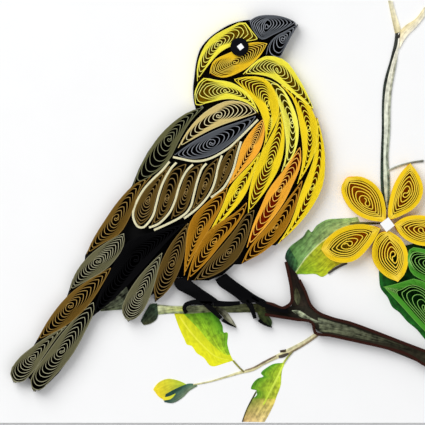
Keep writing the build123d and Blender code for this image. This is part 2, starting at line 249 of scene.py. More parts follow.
HEAD_COILS = {
    "crown_coil": Coil((197.3, 82),
        [(196.8, 70), (199.7, 56), (209.7, 39.2), (228, 27.8), (245, 22), (252, 30.6)], (259.6, 40),
        [(207, 68), (222, 51.6), (246, 42)], (219, 44)),
    "cheek_coil": Coil((209.5, 73.5), [(212.5, 62.5), (231, 51.8), (250, 42.5)], (268.3, 43),
        [(221, 78), (240, 72.6), (258.3, 58.6)], (235.5, 61.8)),
    "nape_coil": Coil((194.7, 95), [(197.6, 84), (204, 77.6), (214, 79.6), (230, 81.8), (247.5, 92.5)],
        (260, 116), [(196.5, 106), (207, 103.5), (232, 99.5), (248, 104)], (226, 90.6)),
    "throat_coil": Coil((242.5, 74.5), [(251, 65.5), (265, 56), (283, 59), (300, 80)], (314.8, 110.8),
        [(256, 74.8), (270, 77.8), (283, 86.2), (298, 98)], (277.6, 69.6)),
}

BEAK_COILS = {
    "beak_upper_coil": Coil((248.6, 21.3), [(256, 16.6), (270, 14.7), (285, 17)], (297, 22.4),
        [(253.5, 32), (261.5, 40), (274, 35)], (266.8, 25.2)),
    "beak_lower_coil": Coil((266, 54.5), [(268.5, 45), (274, 37.6), (286, 30.4)], (299, 23.1),
        [(281, 57), (284.5, 50.5), (291.5, 37)], (282, 37.7)),
}

BREAST_COILS = {
    "breast_coil_1": Coil((258, 161), [(265.2, 137.5), (259.3, 110), (247, 93)], (232.5, 79),
        [(268.5, 138.3), (279.8, 113), (275, 89.6), (266, 78.4), (254, 75.8), (243, 76.6)], (267.7, 104)),
    "breast_coil_2": Coil((280.8, 173), [(285.4, 155.5), (284, 127), (273, 92)], (262, 77),
        [(294.2, 155.5), (299.2, 127), (291.4, 101.5), (280.5, 85.5)], (291.8, 121.6)),
    "breast_coil_3": Coil((248, 213.8), [(249.6, 189), (260, 155.5), (275, 126.5)], (280.5, 109),
        [(265.5, 192), (281.8, 162), (285, 132)], (270, 162)),
    "breast_coil_4": Coil((226, 188.5), [(235.3, 167.5), (242, 144.5), (256, 125)], (263.5, 118),
        [(243.5, 171), (261, 149), (265.2, 128)], (252.5, 146)),
    "breast_coil_5": Coil((207.5, 235), [(221, 209), (231, 185.3), (249.6, 164.3)], (262, 149.5),
        [(229, 215.6), (245.6, 195), (255, 170.5)], (238, 192)),
    "breast_coil_6": Coil((296.5, 186), [(302.2, 163), (299.8, 128), (291.4, 97.6)], (277.4, 82.6),
        [(311.5, 162), (319.3, 135), (308, 102)], (308.8, 129.5)),
    "breast_coil_7": Coil((276.5, 245.5), [(289.5, 225), (300.8, 192), (313.5, 158)], (316.5, 113),
        [(294.3, 230), (312, 208.5), (323, 187), (325.8, 158)], (312, 188)),
    "belly_coil_1": Coil((246.5, 248.5), [(253.2, 224), (261, 206), (266.4, 193.3), (284, 169)],
        (300.5, 145), [(269.6, 223.6), (285.4, 201), (291.8, 188), (301.8, 160)], (279.5, 190)),
    "belly_coil_2": Coil((241.5, 264), [(249.8, 247), (270, 223), (291, 194.5)], (303.5, 178),
        [(264, 252.4), (283.4, 233.5), (298, 202)], (274, 226)),
    "belly_coil_3": Coil((184, 277), [(185.2, 251), (191.3, 219), (210, 199.5)], (228.8, 185.5),
        [(196, 252.5), (212, 225.5), (224, 202)], (203, 230)),
    "belly_coil_4": Coil((187, 281), [(193.5, 257), (202.6, 238.4), (211, 228), (224, 219.4), (237, 211)],
        (248, 200), [(206, 263.5), (223, 242.6), (237.5, 224.6), (245.6, 211)], (216, 243)),
    "belly_coil_5": Coil((193.5, 281), [(205.5, 264.6), (222, 245.4), (236, 228), (245.5, 214.6)],
        (255.6, 208.4), [(211, 277.4), (224.4, 270.4), (237.6, 259), (245.8, 244.4), (251.8, 225)],
        (229, 252)),
}

PETAL_COILS = {
    "petal_1": Coil((386.6, 221.5), [(379, 221.6), (364, 218.4), (346.5, 204), (341.3, 187)], (347, 176.8),
        [(386.9, 213), (385.6, 203), (382.2, 192.5), (373.4, 182), (361, 176)], (365.9, 202.1)),
    "petal_2": Coil((388.6, 220.4), [(388, 213), (389.8, 199), (396, 180.6), (402.5, 170.6)],
        (410.4, 162.3),
        [(393, 219.8), (402.8, 215.8), (413, 210.2), (421, 201), (424, 188.8), (420, 175.5)], (406, 193)),
    "petal_3": Coil((393.5, 224.8), [(404, 217.5), (421, 215), (439, 221)], (451, 233),
        [(401.5, 237), (417, 245.4), (438, 244.8)], (423.3, 230.3)),
    "petal_4": Coil((388.5, 230.8), [(402, 240), (408.5, 256), (405, 274)], (398.3, 282.6),
        [(379.4, 232.6), (373.6, 241), (372, 259), (385.8, 277)], (394, 256)),
    "petal_5": Coil((381, 227.5), [(371, 245), (352, 262), (330, 259.8)], (320.3, 249.3),
        [(363.6, 223.4), (340.6, 227.6), (325.3, 240)], (348.2, 244.7)),
}

LEAF_COILS = {
    "leaf_coil_lower": Coil((383, 287), [(391, 285), (401, 282.5), (412, 278.5), (427, 283), (440, 296)],
        (466, 347), [(399, 304), (424, 331), (449, 352)], (424, 307.5)),
    "leaf_coil_upper": Coil((408, 262), [(410, 248.5), (428, 250), (452, 262.5)], (470, 288.5),
        [(410.5, 272.5), (425, 282), (448, 293)], (431, 265)),
}

# Centre lines of the bundles of strips that run beside each other
CREAM_LINES = {
    "covert_strip": [(173, 157), (182, 159), (192, 161), (201, 160.8), (210, 158.5), (220, 153.5),
        (230, 147), (240, 137.5), (258, 119.5)],
    "wing_strip_1": [(169.5, 161.5), (162, 170.5), (152, 180), (144, 189), (137.5, 200), (134.5, 207),
        (133, 215.5), (134.5, 221.5), (138.5, 227), (142.5, 227.5), (148, 223), (152.5, 216.5), (156, 205),
        (159, 193.5), (163, 182.5), (168, 173), (172.5, 166.5), (176.5, 162.5)],
    "wing_strip_2": [(193, 164.5), (189, 168), (184, 175), (180, 184), (174.5, 202), (170.5, 211),
        (165, 218), (158, 224), (149, 227.5)],
    "wing_strip_3": [(206.5, 163.5), (202.5, 168), (199, 176), (193.5, 196), (191, 205.5), (187, 212),
        (180, 217.5), (170.5, 222.5), (154, 230)],
    "wing_strip_4": [(222, 155.5), (218.5, 165.5), (216, 177), (213, 187), (208.5, 195.5), (202, 203.5),
        (194, 211), (184, 218.5)],
    "wing_strip_5": [(241, 141.5), (236.5, 157), (234, 167), (230, 177), (224, 187), (211, 197.5)],
}
BRANCH_LINES = {
    "branch_edge_upper": [(299.5, 280), (305, 291), (311, 305.5), (316, 311), (331, 318), (350, 323),
        (371, 330.5), (410, 345.5), (497, 377)],
    "branch_edge_lower": [(265, 314.5), (280, 317), (296, 319.5), (313, 323.5), (315, 332.5), (330, 335.5),
        (360, 342), (390, 349), (405, 353.5), (425, 365), (497, 396)],
    "branch_shoot_edge": [(286, 262), (289, 275.5), (291.5, 290), (291, 303), (283, 308), (273, 304.5),
        (266.5, 303)],
}

# A leg's strip is folded to and fro between two edges; toes and claws are single bundles,
# which narrow towards their ends
LEG_EDGES = {
    "leg_left": ([(186.6, 277.4), (191, 281.6), (200.7, 289), (212.2, 296.7), (220, 302.5)],
        [(175.6, 278.8), (174.6, 283.6), (177.6, 288.6), (183.4, 292), (193, 297), (203.5, 304)]),
    "leg_right": ([(225.6, 274), (236.1, 282.3), (245.7, 289), (255.3, 295.7), (264.5, 300.5)],
        [(216, 279.8), (219, 285), (226.5, 290.4), (236, 297), (243.5, 303.5)]),
}
TOE_LINES = {
    "toes_left": [[(212, 302.5), (199, 302.3), (190, 303.2), (185.4, 305.4), (184.2, 308.6), (186.5, 313)],
        [(214, 303.5), (226, 304), (240, 303)], [(205, 302.5), (213, 310.5), (221, 318.5)]],
    "toes_right": [[(247, 300), (251.5, 308), (255, 318.5)], [(252, 297), (262, 303.5), (272, 308),
        (288, 311.5)]],
}
CLAW_LINES = {
    "toes_left": [(222.5, 320), (229, 324), (236, 327.5)],
    "toes_right": [(259, 320), (264, 324), (272, 327.5)],
}

# Black paper that shows round the head
HEAD_RIM = ([(196, 110), (193.3, 98.2), (193.2, 85.7), (194.4, 75), (196.4, 60.7), (200.4, 48.2),
        (209.4, 37.4), (220.2, 29.4), (230, 24), (238, 21.2), (250, 19.2)], [(201, 108), (198, 98),
        (198, 86), (199, 75), (201, 62), (205, 51), (213, 41), (223, 33), (232, 28), (239, 25.5),
        (250, 23)])

# Printed fields: two side lines, and ink at the start's left and right and the end's left
# and right; grain says how strongly the brush shows, and slant how far its strokes lean
Field = namedtuple("Field", "left right inks grain slant")
PRINTED_FIELDS = {
    "foot_leaf_print": Field([(174, 314), (178.7, 327.3), (184, 339), (187.6, 345.4), (190.6, 346),
         (196.6, 353.4), (204, 358.6), (210.6, 366.4), (222, 364.6)], [(213, 308), (218.5, 318),
         (222.5, 326), (224.4, 333), (226.3, 332.6), (227.5, 345), (230, 354), (233.4, 361)],
        ("#E4E21C", "#86B424", "#F1ED1C", "#DDE424"), 0.16, 1.2),
    "foot_leaf_green_print": Field([(183, 313.6), (191.6, 322), (200, 331), (209, 341.6), (219, 351),
         (226, 355.6)],
        [(213, 308), (218.5, 318), (222.5, 326), (224.4, 333), (226, 332.8), (227.3, 345), (230, 355)],
        ("#7EB822", "#2C7A12", "#C6DC26", "#6FAE26"), 0.5, 1.6),
    "foot_leaf_vein_print": Field([(179, 317), (190, 333), (203, 347), (216, 357.6), (229, 360.6)],
        [(180.6, 316.4), (191.4, 332), (204.2, 346), (216.8, 356.6), (229.6, 360)],
        ("#F6F04A", "#E9EC3A", "#F4F23E", "#E0E83A"), 0.1, 0),
    "low_leaf_print": Field([(281.3, 363.5), (274, 364.3), (268.3, 367.2), (261.4, 374.5), (263.6, 376.6),
         (258, 379), (253, 384), (251.2, 389.4), (256.4, 391), (257, 395), (251.8, 400.5), (249.6, 405)],
         [(284.4, 362.8), (283.2, 366), (282.4, 370), (281.6, 376), (281.4, 380), (281, 385), (279.6, 390),
         (277.6, 395), (275.6, 400), (274, 405)], ("#43971A", "#B9D62A", "#4E8A1A", "#C9CF3C"), 0.5, -1.0),
    "low_leaf_tip_print": Field([(252.8, 399), (249.6, 404.6), (247, 410), (244.6, 415.6), (242.4, 422.4)],
        [(276, 399.4), (274, 405), (271.6, 410), (268.6, 416), (264.6, 422.6)],
        ("#6E8A2E", "#E0CC58", "#C9A468", "#F3DC96"), 0.5, 0.6),
    "low_leaf_edge_print": Field([(256, 391.5), (251.2, 400), (246.5, 409.5), (241.8, 422.4)],
        [(257.2, 392.4), (252.4, 401), (247.6, 410), (243, 422.6)],
        ("#4E5A1E", "#4E5A1E", "#3A3A1A", "#5E5030"), 0.6, 0),
    "low_leaf_rib_print": Field([(283.4, 363.6), (278, 375), (270.4, 390), (263, 405)],
        [(284.8, 364.4), (279.8, 375.8), (272.2, 390.8), (264.2, 405.4)],
        ("#E2F25C", "#D9EE55", "#C6E23E", "#C6DC4A"), 0.15, 0),
    "side_leaf_upper_print": Field([(285.2, 258), (286.5, 252.5), (290.7, 246.4), (297, 241.5), (303, 237),
         (309.4, 229.8), (311, 232), (317, 225.6), (327, 219.8), (339, 218.6), (350, 218), (358, 217)],
         [(293.7, 275.4), (297, 270), (301.3, 263.6), (306, 257), (310.8, 251.8), (316, 246.4),
         (322, 241.2), (335, 232.6), (350, 225.6), (360, 221.6)],
        ("#477A3A", "#578C40", "#8AAE66", "#B4C88A"), 0.6, 0.6),
    "side_leaf_dark_print": Field([(285.2, 258.4), (286.3, 253), (289.6, 248)],
        [(293.4, 275.2), (296.4, 270), (298.6, 263)], ("#0C1E16", "#16302A", "#27553A", "#4A7A3A"), 0.7,
        0.4),
    "side_leaf_lower_print": Field([(294.2, 276), (297.4, 270.6), (301.7, 264.2), (311.2, 252.4),
         (322.4, 241.8), (335.4, 233.2), (350.4, 226.2)],
        [(299, 274), (306, 274.4), (315.5, 274.2), (322.6, 277), (327.4, 274.4), (333, 268.6), (352, 261)],
        ("#5E8A1E", "#86BE24", "#D8D22A", "#D6C21A"), 0.5, 0.8),
    "side_leaf_rib_print": Field([(293.4, 276.4), (297.2, 270.2), (301.4, 263.8), (311, 252),
         (322.2, 241.4), (335.4, 232.8), (352, 224.8)], [(294.4, 277), (298, 271), (302.2, 264.6),
         (311.8, 252.8), (323, 242.2), (336, 233.6), (352.4, 225.6)],
        ("#C6D88A", "#B9D06A", "#E6EBA8", "#DDE48A"), 0.3, 0),
    "coil_leaf_print": Field([(380, 262), (379.6, 278), (381, 288), (388, 297.5), (393.5, 308), (399, 312),
         (408, 322), (417, 329.5), (425, 339), (446, 362), (462, 368)], [(404, 246), (422, 243), (440, 246),
         (455, 254), (468, 268), (478, 284), (481, 295), (481, 305), (482, 325), (478, 345), (468, 362)],
        ("#155A1C", "#0B3310", "#1E6A1A", "#14480F"), 0.6, 0),
    "blossom_stem_print": Field([(350, 222.4), (362, 222), (381, 222.8)],
        [(350, 224.2), (362, 224.8), (381, 224)], ("#8E9650", "#4E5A2A", "#2E2A12", "#3A3010"), 0.8, 0),
    "bud_print": Field([(153, 390), (158, 383.4), (167, 379.4), (176, 380.4), (186, 384.6)],
        [(157.4, 396), (163, 399.6), (169, 397.4), (177, 391.6), (187, 387)],
        ("#F6E02E", "#F4D722", "#B4CE3A", "#5E9A3A"), 0.2, 0.4),
    "bud_cup_print": Field([(165.5, 394.6), (174, 390), (182, 386.4), (190, 384), (197, 385.4)],
        [(164, 402.4), (172, 403.6), (181.4, 399), (189.4, 391.4), (197, 386.8)],
        ("#1C4A42", "#143C3A", "#2E5E4C", "#8FA07A"), 0.5, 0.6),
    "bud_notch_print": Field([(162.4, 398), (169, 396.8), (175, 394)],
        [(163, 400.8), (170.4, 399.6), (175.6, 394.4)], ("#F6E436", "#F1DE30", "#C6D03A", "#B4CE3A"), 0.15,
        0),
    "pale_twig_print": Field([(316, 332.6), (303.7, 341), (290.7, 347.8), (279, 353.8), (263.6, 362),
         (251.8, 368.4), (240, 371.6), (226, 376.4), (210, 381.2), (193, 384.6)], [(319, 336), (306, 345),
         (293.4, 351.8), (281, 357.4), (265, 364.8), (253, 371.4), (240.6, 374.2), (226.4, 378.2),
         (210.4, 382.6), (193.2, 385.8)], ("#E2DDB4", "#CFC294", "#E0DCA8", "#B9B47C"), 0.4, 0),
    "twig_shade_print": Field([(318, 334.6), (305, 343.6), (293, 350.8), (284, 355.4)],
        [(319, 336.2), (306, 345.2), (293.8, 352.2), (284.6, 357)],
        ("#B4A482", "#8A7858", "#9E8C68", "#6E5E46"), 0.5, 0),
    "twig_bark_print": Field([(276, 355.4), (264, 361.6), (252, 368), (245, 370.2)],
        [(276.6, 356.8), (264.8, 363.2), (252.6, 369.4), (245.4, 371.2)],
        ("#86745A", "#6A5A44", "#7E6C52", "#9E8E6E"), 0.5, 0),
    "twig_node_print": Field([(280, 350.8), (286.4, 349.6)], [(280.6, 353), (286, 352.4)],
        ("#4E4030", "#3E3226", "#4E4030", "#3E3226"), 0.4, 0),
    "twig_scar_print": Field([(278.4, 356), (283, 354.6), (288.4, 353)],
        [(279, 358.4), (284, 357.6), (288.8, 354.6)], ("#5E5648", "#3A3228", "#4E443A", "#3A3228"), 0.4, 0),
    "leaf_stem_print": Field([(232.4, 361.4), (237.6, 367.4), (243.4, 373)],
        [(234, 360.6), (239, 366.4), (244.8, 372)], ("#A0A43A", "#8A8A34", "#8E8450", "#4E4630"), 0.4, 0),
    "side_stem_print": Field([(282.6, 364), (286, 358.6), (292.4, 351.4)],
        [(284.6, 364), (287.6, 359.4), (293.8, 352.2)], ("#C9D64A", "#9EAE3A", "#8A7E58", "#5E5440"), 0.4,
        0),
    "foot_twig_print": Field([(150, 304.4), (160, 305), (172, 306), (185, 306), (215, 305.4), (235, 304.6),
         (250, 304), (272, 305)], [(150, 315.6), (160, 314.6), (172, 313.6), (186, 314), (215, 312.4),
         (235, 313), (249, 312.6), (266, 313)], ("#B9BF98", "#8E9A68", "#5E6030", "#3E3F1E"), 0.9, 0.6),
    "twig_pale_patch_print": Field([(153, 306), (163, 306.4), (176, 307), (184, 307)],
        [(153.6, 313), (163, 312.6), (176, 311.4), (184, 311.6)],
        ("#D2D8B2", "#C6CDA2", "#C9CE74", "#A8B04A"), 0.6, 0.5),
    "twig_rump_patch_print": Field([(98, 309), (108, 302), (118, 293), (126, 286.4)],
        [(101, 311.6), (113, 310.4), (123, 309.4), (134, 303)],
        ("#2E3226", "#6A7052", "#A9B090", "#5E6A50"), 1.3, 0.6),
    "twig_stub_print": Field([(157, 303.6), (150, 305), (146, 311), (140.6, 321.6)],
        [(158, 314.6), (156.6, 319), (150, 324), (143.6, 325.4)],
        ("#3A4E36", "#2E4032", "#22352C", "#4E4E2E"), 0.9, 0),
    "bark_print": Field([(264, 300.5), (273, 304), (282, 308), (292, 306), (300, 303), (309, 306),
         (316, 312), (331, 318), (371, 330.5), (425, 351), (498, 378)], [(266, 313.5), (274, 315),
         (284, 317), (294, 319), (304, 321), (313, 325), (318, 331), (330, 335.5), (368, 343.5), (425, 365),
         (498, 396)], ("#1E1A16", "#26221A", "#4E4A36", "#3E3A28"), 0.5, 0),
    "bark_light_print": Field([(318, 317.4), (331, 321.4), (350, 326.6), (371, 334), (390, 340.6),
         (410, 348)], [(320, 332), (331, 332.8), (350, 336.6), (371, 341), (390, 344.6), (410, 351.6)],
        ("#868C70", "#6E7458", "#4A4A34", "#2E2A1E"), 1.0, 0.5),
    "bark_scar_print": Field([(292, 310.6), (299, 310.6), (308, 316), (316, 320.4), (325, 323)],
        [(292, 311.2), (298, 315.6), (306, 319.6), (314, 322.6), (325, 323.8)],
        ("#C3CCA8", "#8E9678", "#8E967C", "#5E644E"), 1.3, 0),
    "shoot_print": Field([(286, 262), (289, 275.5), (291.5, 290), (292, 306)],
        [(297, 274), (301, 283), (305, 293), (311, 307)], ("#2A1C18", "#20140F", "#3E3426", "#26201A"), 0.6,
        0),
    "shoot_light_print": Field([(296.4, 288), (294.4, 292.6), (294.4, 298), (297.4, 305)],
        [(296.8, 288), (299.4, 293), (300.8, 299), (299, 305.2)],
        ("#5E5E3C", "#4E4E32", "#7E8460", "#3E3E2A"), 0.9, 0),
    "tall_twig_print": Field([(397, 32), (395.5, 45), (392.5, 55), (389.5, 66), (386, 80), (383.5, 100),
         (382.6, 130), (381.8, 165), (382.6, 190), (385.5, 208)], [(400, 33), (399.5, 46), (397.5, 57),
         (395.8, 67), (392.5, 80), (390.6, 100), (389.6, 130), (388, 165), (389, 190), (388.5, 208)],
        ("#F0E8D0", "#F3EEDC", "#D3DFCC", "#C9D8C2"), 0.4, 0),
    "twig_left_line_print": Field([(396, 31), (394.6, 43), (392.3, 53), (389.4, 64), (386.9, 72),
         (383.9, 85), (382.6, 100), (382.2, 130), (381, 165), (381.6, 190), (385.6, 209)], [(398.6, 31.5),
         (398, 44), (395, 53.5), (391.5, 65), (389.4, 73), (386.6, 86), (384.9, 100), (384.5, 130),
         (383.9, 165), (384.6, 190), (387, 209)], ("#2E2E2A", "#2A2C28", "#33463A", "#22352A"), 0.8, 0),
    "twig_right_line_print": Field([(396.6, 57), (394.4, 66), (391.9, 78), (390, 90), (388.9, 105),
         (388.4, 130), (386.4, 158), (387.8, 180), (387.8, 205)], [(397.8, 57), (396.2, 67), (394.1, 78),
         (392.1, 90), (391, 105), (390.6, 130), (388.8, 158), (390.2, 180), (389.6, 205)],
        ("#C9C2A8", "#B9BCA8", "#6C8270", "#4E6654"), 0.8, 0),
    "twig_fork_print": Field([(397.5, 36), (400, 33), (403.6, 30)], [(399, 38), (401.4, 35.4), (405, 31.4)],
        ("#34302C", "#2E2A28", "#4A4236", "#6A5E4A"), 0.4, 0),
    "cream_left_print": Field([(388.6, 0), (391, 12), (393.5, 24), (395.5, 33)],
        [(393, 0), (396, 12), (399, 22), (402, 31)], ("#C9C29A", "#FCF7DF", "#CDBF92", "#F3E6B4"), 0.3, 0),
    "cream_right_print": Field([(425, 6), (415, 19), (406, 25), (401, 30)],
        [(425, 16), (416, 27), (408, 35), (400, 48)], ("#E9DDB0", "#F7F0D6", "#F1DFA6", "#FBF3DC"), 0.3, 0),
    "side_twig_print": Field([(388, 169.5), (398, 165.3), (408, 162.3), (424, 159.6)],
        [(388.4, 171.3), (398.4, 167), (408.4, 163.9), (424, 161.8)],
        ("#AEB3A4", "#A6A696", "#8E8E80", "#4A4A42"), 0.5, 0),
    "petal_stem_print": Field([(328, 272.4), (336, 267), (347, 262.5)],
        [(329, 274.4), (337, 269.2), (348, 264.2)], ("#5A5448", "#3A3630", "#4E4A40", "#3A3630"), 0.4, 0),
    "left_claw_print": Field([(217, 307), (226, 311.4), (232.3, 319.6), (236.6, 327)],
        [(213.6, 309.4), (221, 315), (229, 324.6), (236.4, 327.6)],
        ("#2E2C1A", "#4A4A2C", "#C9C8B0", "#77765A"), 0.9, 0),
    "left_thumb_print": Field([(203, 303.4), (208, 305), (213, 310)],
        [(202.6, 304), (206, 308.4), (211, 312)], ("#8E8C6A", "#5E5C3E", "#4A4A2E", "#6E6C50"), 0.7, 0),
    "right_claw_print": Field([(256, 308), (262.9, 309.6), (268.7, 315.8), (272.2, 323.4), (271, 327)],
        [(257, 312), (258.6, 317), (262.9, 323.4), (267, 326.4), (270, 327.2)],
        ("#4A4A2A", "#5E6B34", "#3E5A2E", "#0E1A0C"), 0.8, 0),
}


def srgb(code):
    """A hex colour as the linear numbers that shaders take."""
    steps = np.array([int(code[k:k + 2], 16) for k in (1, 3, 5)]) / 255
    return tuple(np.where(steps <= 0.04045, steps / 12.92, ((steps + 0.055) / 1.055) ** 2.4))


def place(points):
    """Pattern points as metres on the card."""
    steps = (np.asarray(points, float) - PATTERN_MIDDLE) * STEP
    return steps * [1, -1]


def curve_through(points, shares):
    """A cubic Hermite curve through points, at shares of its chord length.

    The slope at an inner point is the mean of the chords beside it, each weighted by the
    other's length, and an end's slope is 1.5 times its chord's less half its neighbour's.
    """
    points = np.asarray(points, float)
    chord = np.linalg.norm(np.diff(points, axis=0), axis=1)
    knot = np.concatenate([[0], np.cumsum(chord)])
    slope = np.diff(points, axis=0) / chord[:, None]
    if len(points) == 2:
        return points[0] + np.outer(shares, points[1] - points[0])
    weight = (chord[:-1] + chord[1:])[:, None]
    inner = (slope[:-1] * chord[1:, None] + slope[1:] * chord[:-1, None]) / weight
    slope = np.vstack([1.5 * slope[:1] - 0.5 * inner[:1], inner, 1.5 * slope[-1:] - 0.5 * inner[-1:]])
    way = np.clip(shares, 0, 1) * knot[-1]
    k = np.clip(np.searchsorted(knot, way, side="right") - 1, 0, len(chord) - 1)
    t = ((way - knot[k]) / chord[k])[:, None]
    h = chord[k][:, None]
    return ((2 * t**3 - 3 * t**2 + 1) * points[k] + (t**3 - 2 * t**2 + t) * h * slope[k]
            + (3 * t**2 - 2 * t**3) * points[k + 1] + (t**3 - t**2) * h * slope[k + 1])


def fitted(points, shares):
    """A smooth line in metres through pattern points."""
    return place(curve_through(points, shares))


def side_lines(coil, shares):
    """The left and right side of a coil's outline, each from root to tip."""
    return (fitted([coil.root, *coil.left, coil.tip], shares),
            fitted([coil.root, *coil.right, coil.tip], shares))


def run_of(line):
    """Length of a line."""
    return np.sum(np.linalg.norm(np.diff(line, axis=0), axis=1))


def unit(vectors):
    """Vectors scaled to length one, apart from those of no length."""
    return vectors / np.maximum(np.linalg.norm(vectors, axis=1), 1e-12)[:, None]


def left_of(line):
    """Unit vectors to the left of a line that runs through the given points."""
    heading = unit(np.gradient(line, axis=0))
    return np.column_stack([-heading[:, 1], heading[:, 0]])


def lies_left(line, other):
    """Whether a line lies to the left of one that runs beside it, as their middles show."""
    k = len(line) // 2
    return np.sum((line[k] - other[k]) * left_of(line)[k]) > 0


def half_turn():
    """Shares along half a turn: both end angles, and the way along the side between them."""
    rise = np.linspace(0, math.pi / 2, END_POINTS)
    rest = SIDE_POINTS + END_POINTS - 2
    way = np.linspace(0, 1, SIDE_POINTS)
    first = np.concatenate([rise[:-1], np.full(rest, math.pi / 2)])
    along = np.concatenate([np.zeros(END_POINTS - 1), way, np.ones(END_POINTS - 2)])
    last = np.concatenate([np.zeros(rest), rise[:-1]])
    return first, along, last


def outline_of(coil):
    """A coil's outline at even shares u of the way from root to tip.

    Each share has the middle between the side lines, the direction across and half the
    distance, each side's lean, and the reach. A lean is the cosine of the angle between the
    direction across and the side's normal. The reach, how deep inside the outline a turn can
    lie, is half the distance times the lesser lean.
    """
    u = np.linspace(0, 1, OUTLINE_POINTS)
    left, right = side_lines(coil, u)
    across = unit(left - right)
    across[0], across[-1] = across[1], across[-2]
    half = np.linalg.norm(left - right, axis=1) / 2
    lean_left, lean_right = (np.clip(np.abs(np.sum(across * left_of(side), axis=1)), LEAST_LEAN, 1)
                             for side in (left, right))
    reach = half * np.minimum(lean_left, lean_right)
    return u, (left + right) / 2, across, half, lean_left, lean_right, reach


def wind(coil, winding, sizes, seed):
    """Centre line of a wound strip, each point's turn, and how free its top edge stands.

    A place on the coil has u, the share of the way from root to tip, and a distance across.
    Turn t runs along both sides at depth(t) inside the outline, and goes round its two ends
    at first(t) and last(t): there the distance across is multiplied by a power of the sine of
    an angle whose cosine is the way from the end, which gives a quarter ellipse at power 1
    and a pointed end above it. The root's power grows to its own over the outermost turns.
    Depth grows by one pitch a turn while the turns are packed, then evenly to the heart,
    where two half circles of opposite bend end the strip.
    """
    u, middle, across, half, lean_left, lean_right, reach = outline_of(coil)
    length = run_of(middle)
    heart = place(coil.heart)
    at_heart = np.argmin(np.linalg.norm(middle - heart, axis=1))
    heart_u = u[at_heart]
    room = reach[at_heart]
    off_middle = (heart - middle[at_heart]) @ across[at_heart]
    heart_shift = np.clip(off_middle, -HEART_SHIFT * room, HEART_SHIFT * room)

    # Each point's turn, its half of that turn, and its place in the half
    thickness = sizes.thickness * winding.stout
    pitch = sizes.pitch * winding.stout
    heart_size = sizes.heart * winding.heart
    packed = max(int(winding.packed * room / pitch), 2)
    turns = packed + winding.loose
    first_angle, along, last_angle = half_turn()
    count = len(along)
    halves, step_in_half = np.divmod(np.arange(2 * turns * count + 1), count)
    tau = (halves + step_in_half / count) / 2
    back = halves % 2 == 1
    mirrored = np.where(back, count - step_in_half, step_in_half)
    first_angle = np.append(first_angle, math.pi / 2)[mirrored]
    along = np.append(along, 1)[mirrored]
    last_angle = np.append(last_angle, math.pi / 2)[mirrored]

    # How deep each turn lies, and the shares at which its ends are
    innermost = max(room - heart_size / 2, pitch * packed * LEAST_LOOSE)
    depth = np.interp(tau, [0, packed, turns], [thickness / 2, pitch * packed, innermost])
    pull = 1 - (1 - np.interp(tau, [0, packed, turns], [0, winding.pull, 1])) ** winding.bend
    noise = np.random.default_rng(seed)
    uneven = np.interp(tau, np.arange(turns + 1), noise.normal(0, PULL_SPREAD, turns + 1))
    pull += uneven * np.sin(math.pi * pull)
    heart_length = HEART_LENGTH * heart_size / length
    rootward = np.maximum.accumulate(reach)
    tipward = np.maximum.accumulate(reach[::-1])
    first = np.maximum(np.interp(depth, rootward, u), (heart_u - heart_length) * pull)
    last = np.minimum(np.interp(depth, tipward, u[::-1]), 1 - (1 - heart_u - heart_length) * pull)
    first = np.minimum(first, heart_u - HEART_CLEAR * heart_length)
    last = np.maximum(last, heart_u + HEART_CLEAR * heart_length)

    # How long its round ends are, and how far each point is along and across
    probe = END_PROBE / length
    shortest = SHORTEST_END / length
    longest = LONGEST_END * (last - first)
    round_first = winding.root_round * (np.interp(first + probe, u, reach) - depth) / length
    round_last = winding.tip_round * (np.interp(last - probe, u, reach) - depth) / length
    round_first = np.clip(round_first, shortest, longest)
    round_last = np.clip(round_last, shortest, longest)
    where = (first + round_first * (1 - np.cos(first_angle)) + round_last * np.sin(last_angle)
             + along * (last - round_last - first - round_first))
    root_power = winding.root_point * np.clip(tau / ROOT_TURNS, ROOT_START, 1)
    squeeze = np.sin(first_angle) ** root_power * np.cos(last_angle) ** winding.tip_point
    half_here = np.interp(where, u, half)
    lean = np.where(back, np.interp(where, u, lean_right), np.interp(where, u, lean_left))
    swell = winding.swell * np.clip((tau - packed) / winding.loose, 0, 1)
    inside = half_here - depth / lean
    inside += swell * depth * np.clip(1 - half_here / half[at_heart], 0, 1)
    out = np.maximum(inside, LEAST_HALF_WIDTH) * squeeze
    side = np.where(back, -out, out) + heart_shift * (tau / turns) ** 2

    # The heart's hook, then the line in metres
    arc = np.linspace(0, 1, HEART_POINTS)[1:] * math.pi
    radius = (heart_u - first[-1]) / 2
    bulge = min(radius * length, HOOK_BULGE * heart_size)
    hook = np.concatenate([first[-1] + radius * (1 - np.cos(arc)),
                           heart_u + radius * (1 - np.cos(HOOK_END * arc))])
    hook_side = np.concatenate([bulge * np.sin(arc), -bulge * np.sin(HOOK_END * arc)]) + side[-1]
    free = np.clip(FREE_AT_ENDS - squeeze**3, 0, 1)
    free = np.where(tau > packed, np.maximum(free, FREE_LOOSE), free)
    free = np.where(tau < 1, np.maximum(free, FREE_OUTSIDE), free)
    where = np.concatenate([where, hook])
    side = np.concatenate([side, hook_side])
    tau = np.concatenate([tau, np.full(len(hook), turns)])
    free = np.concatenate([free, np.ones(len(hook))])
    spot, outward = (np.column_stack([np.interp(where, u, row) for row in rows.T])
                     for rows in (middle, across))
    return spot + unit(outward) * side[:, None], tau, free


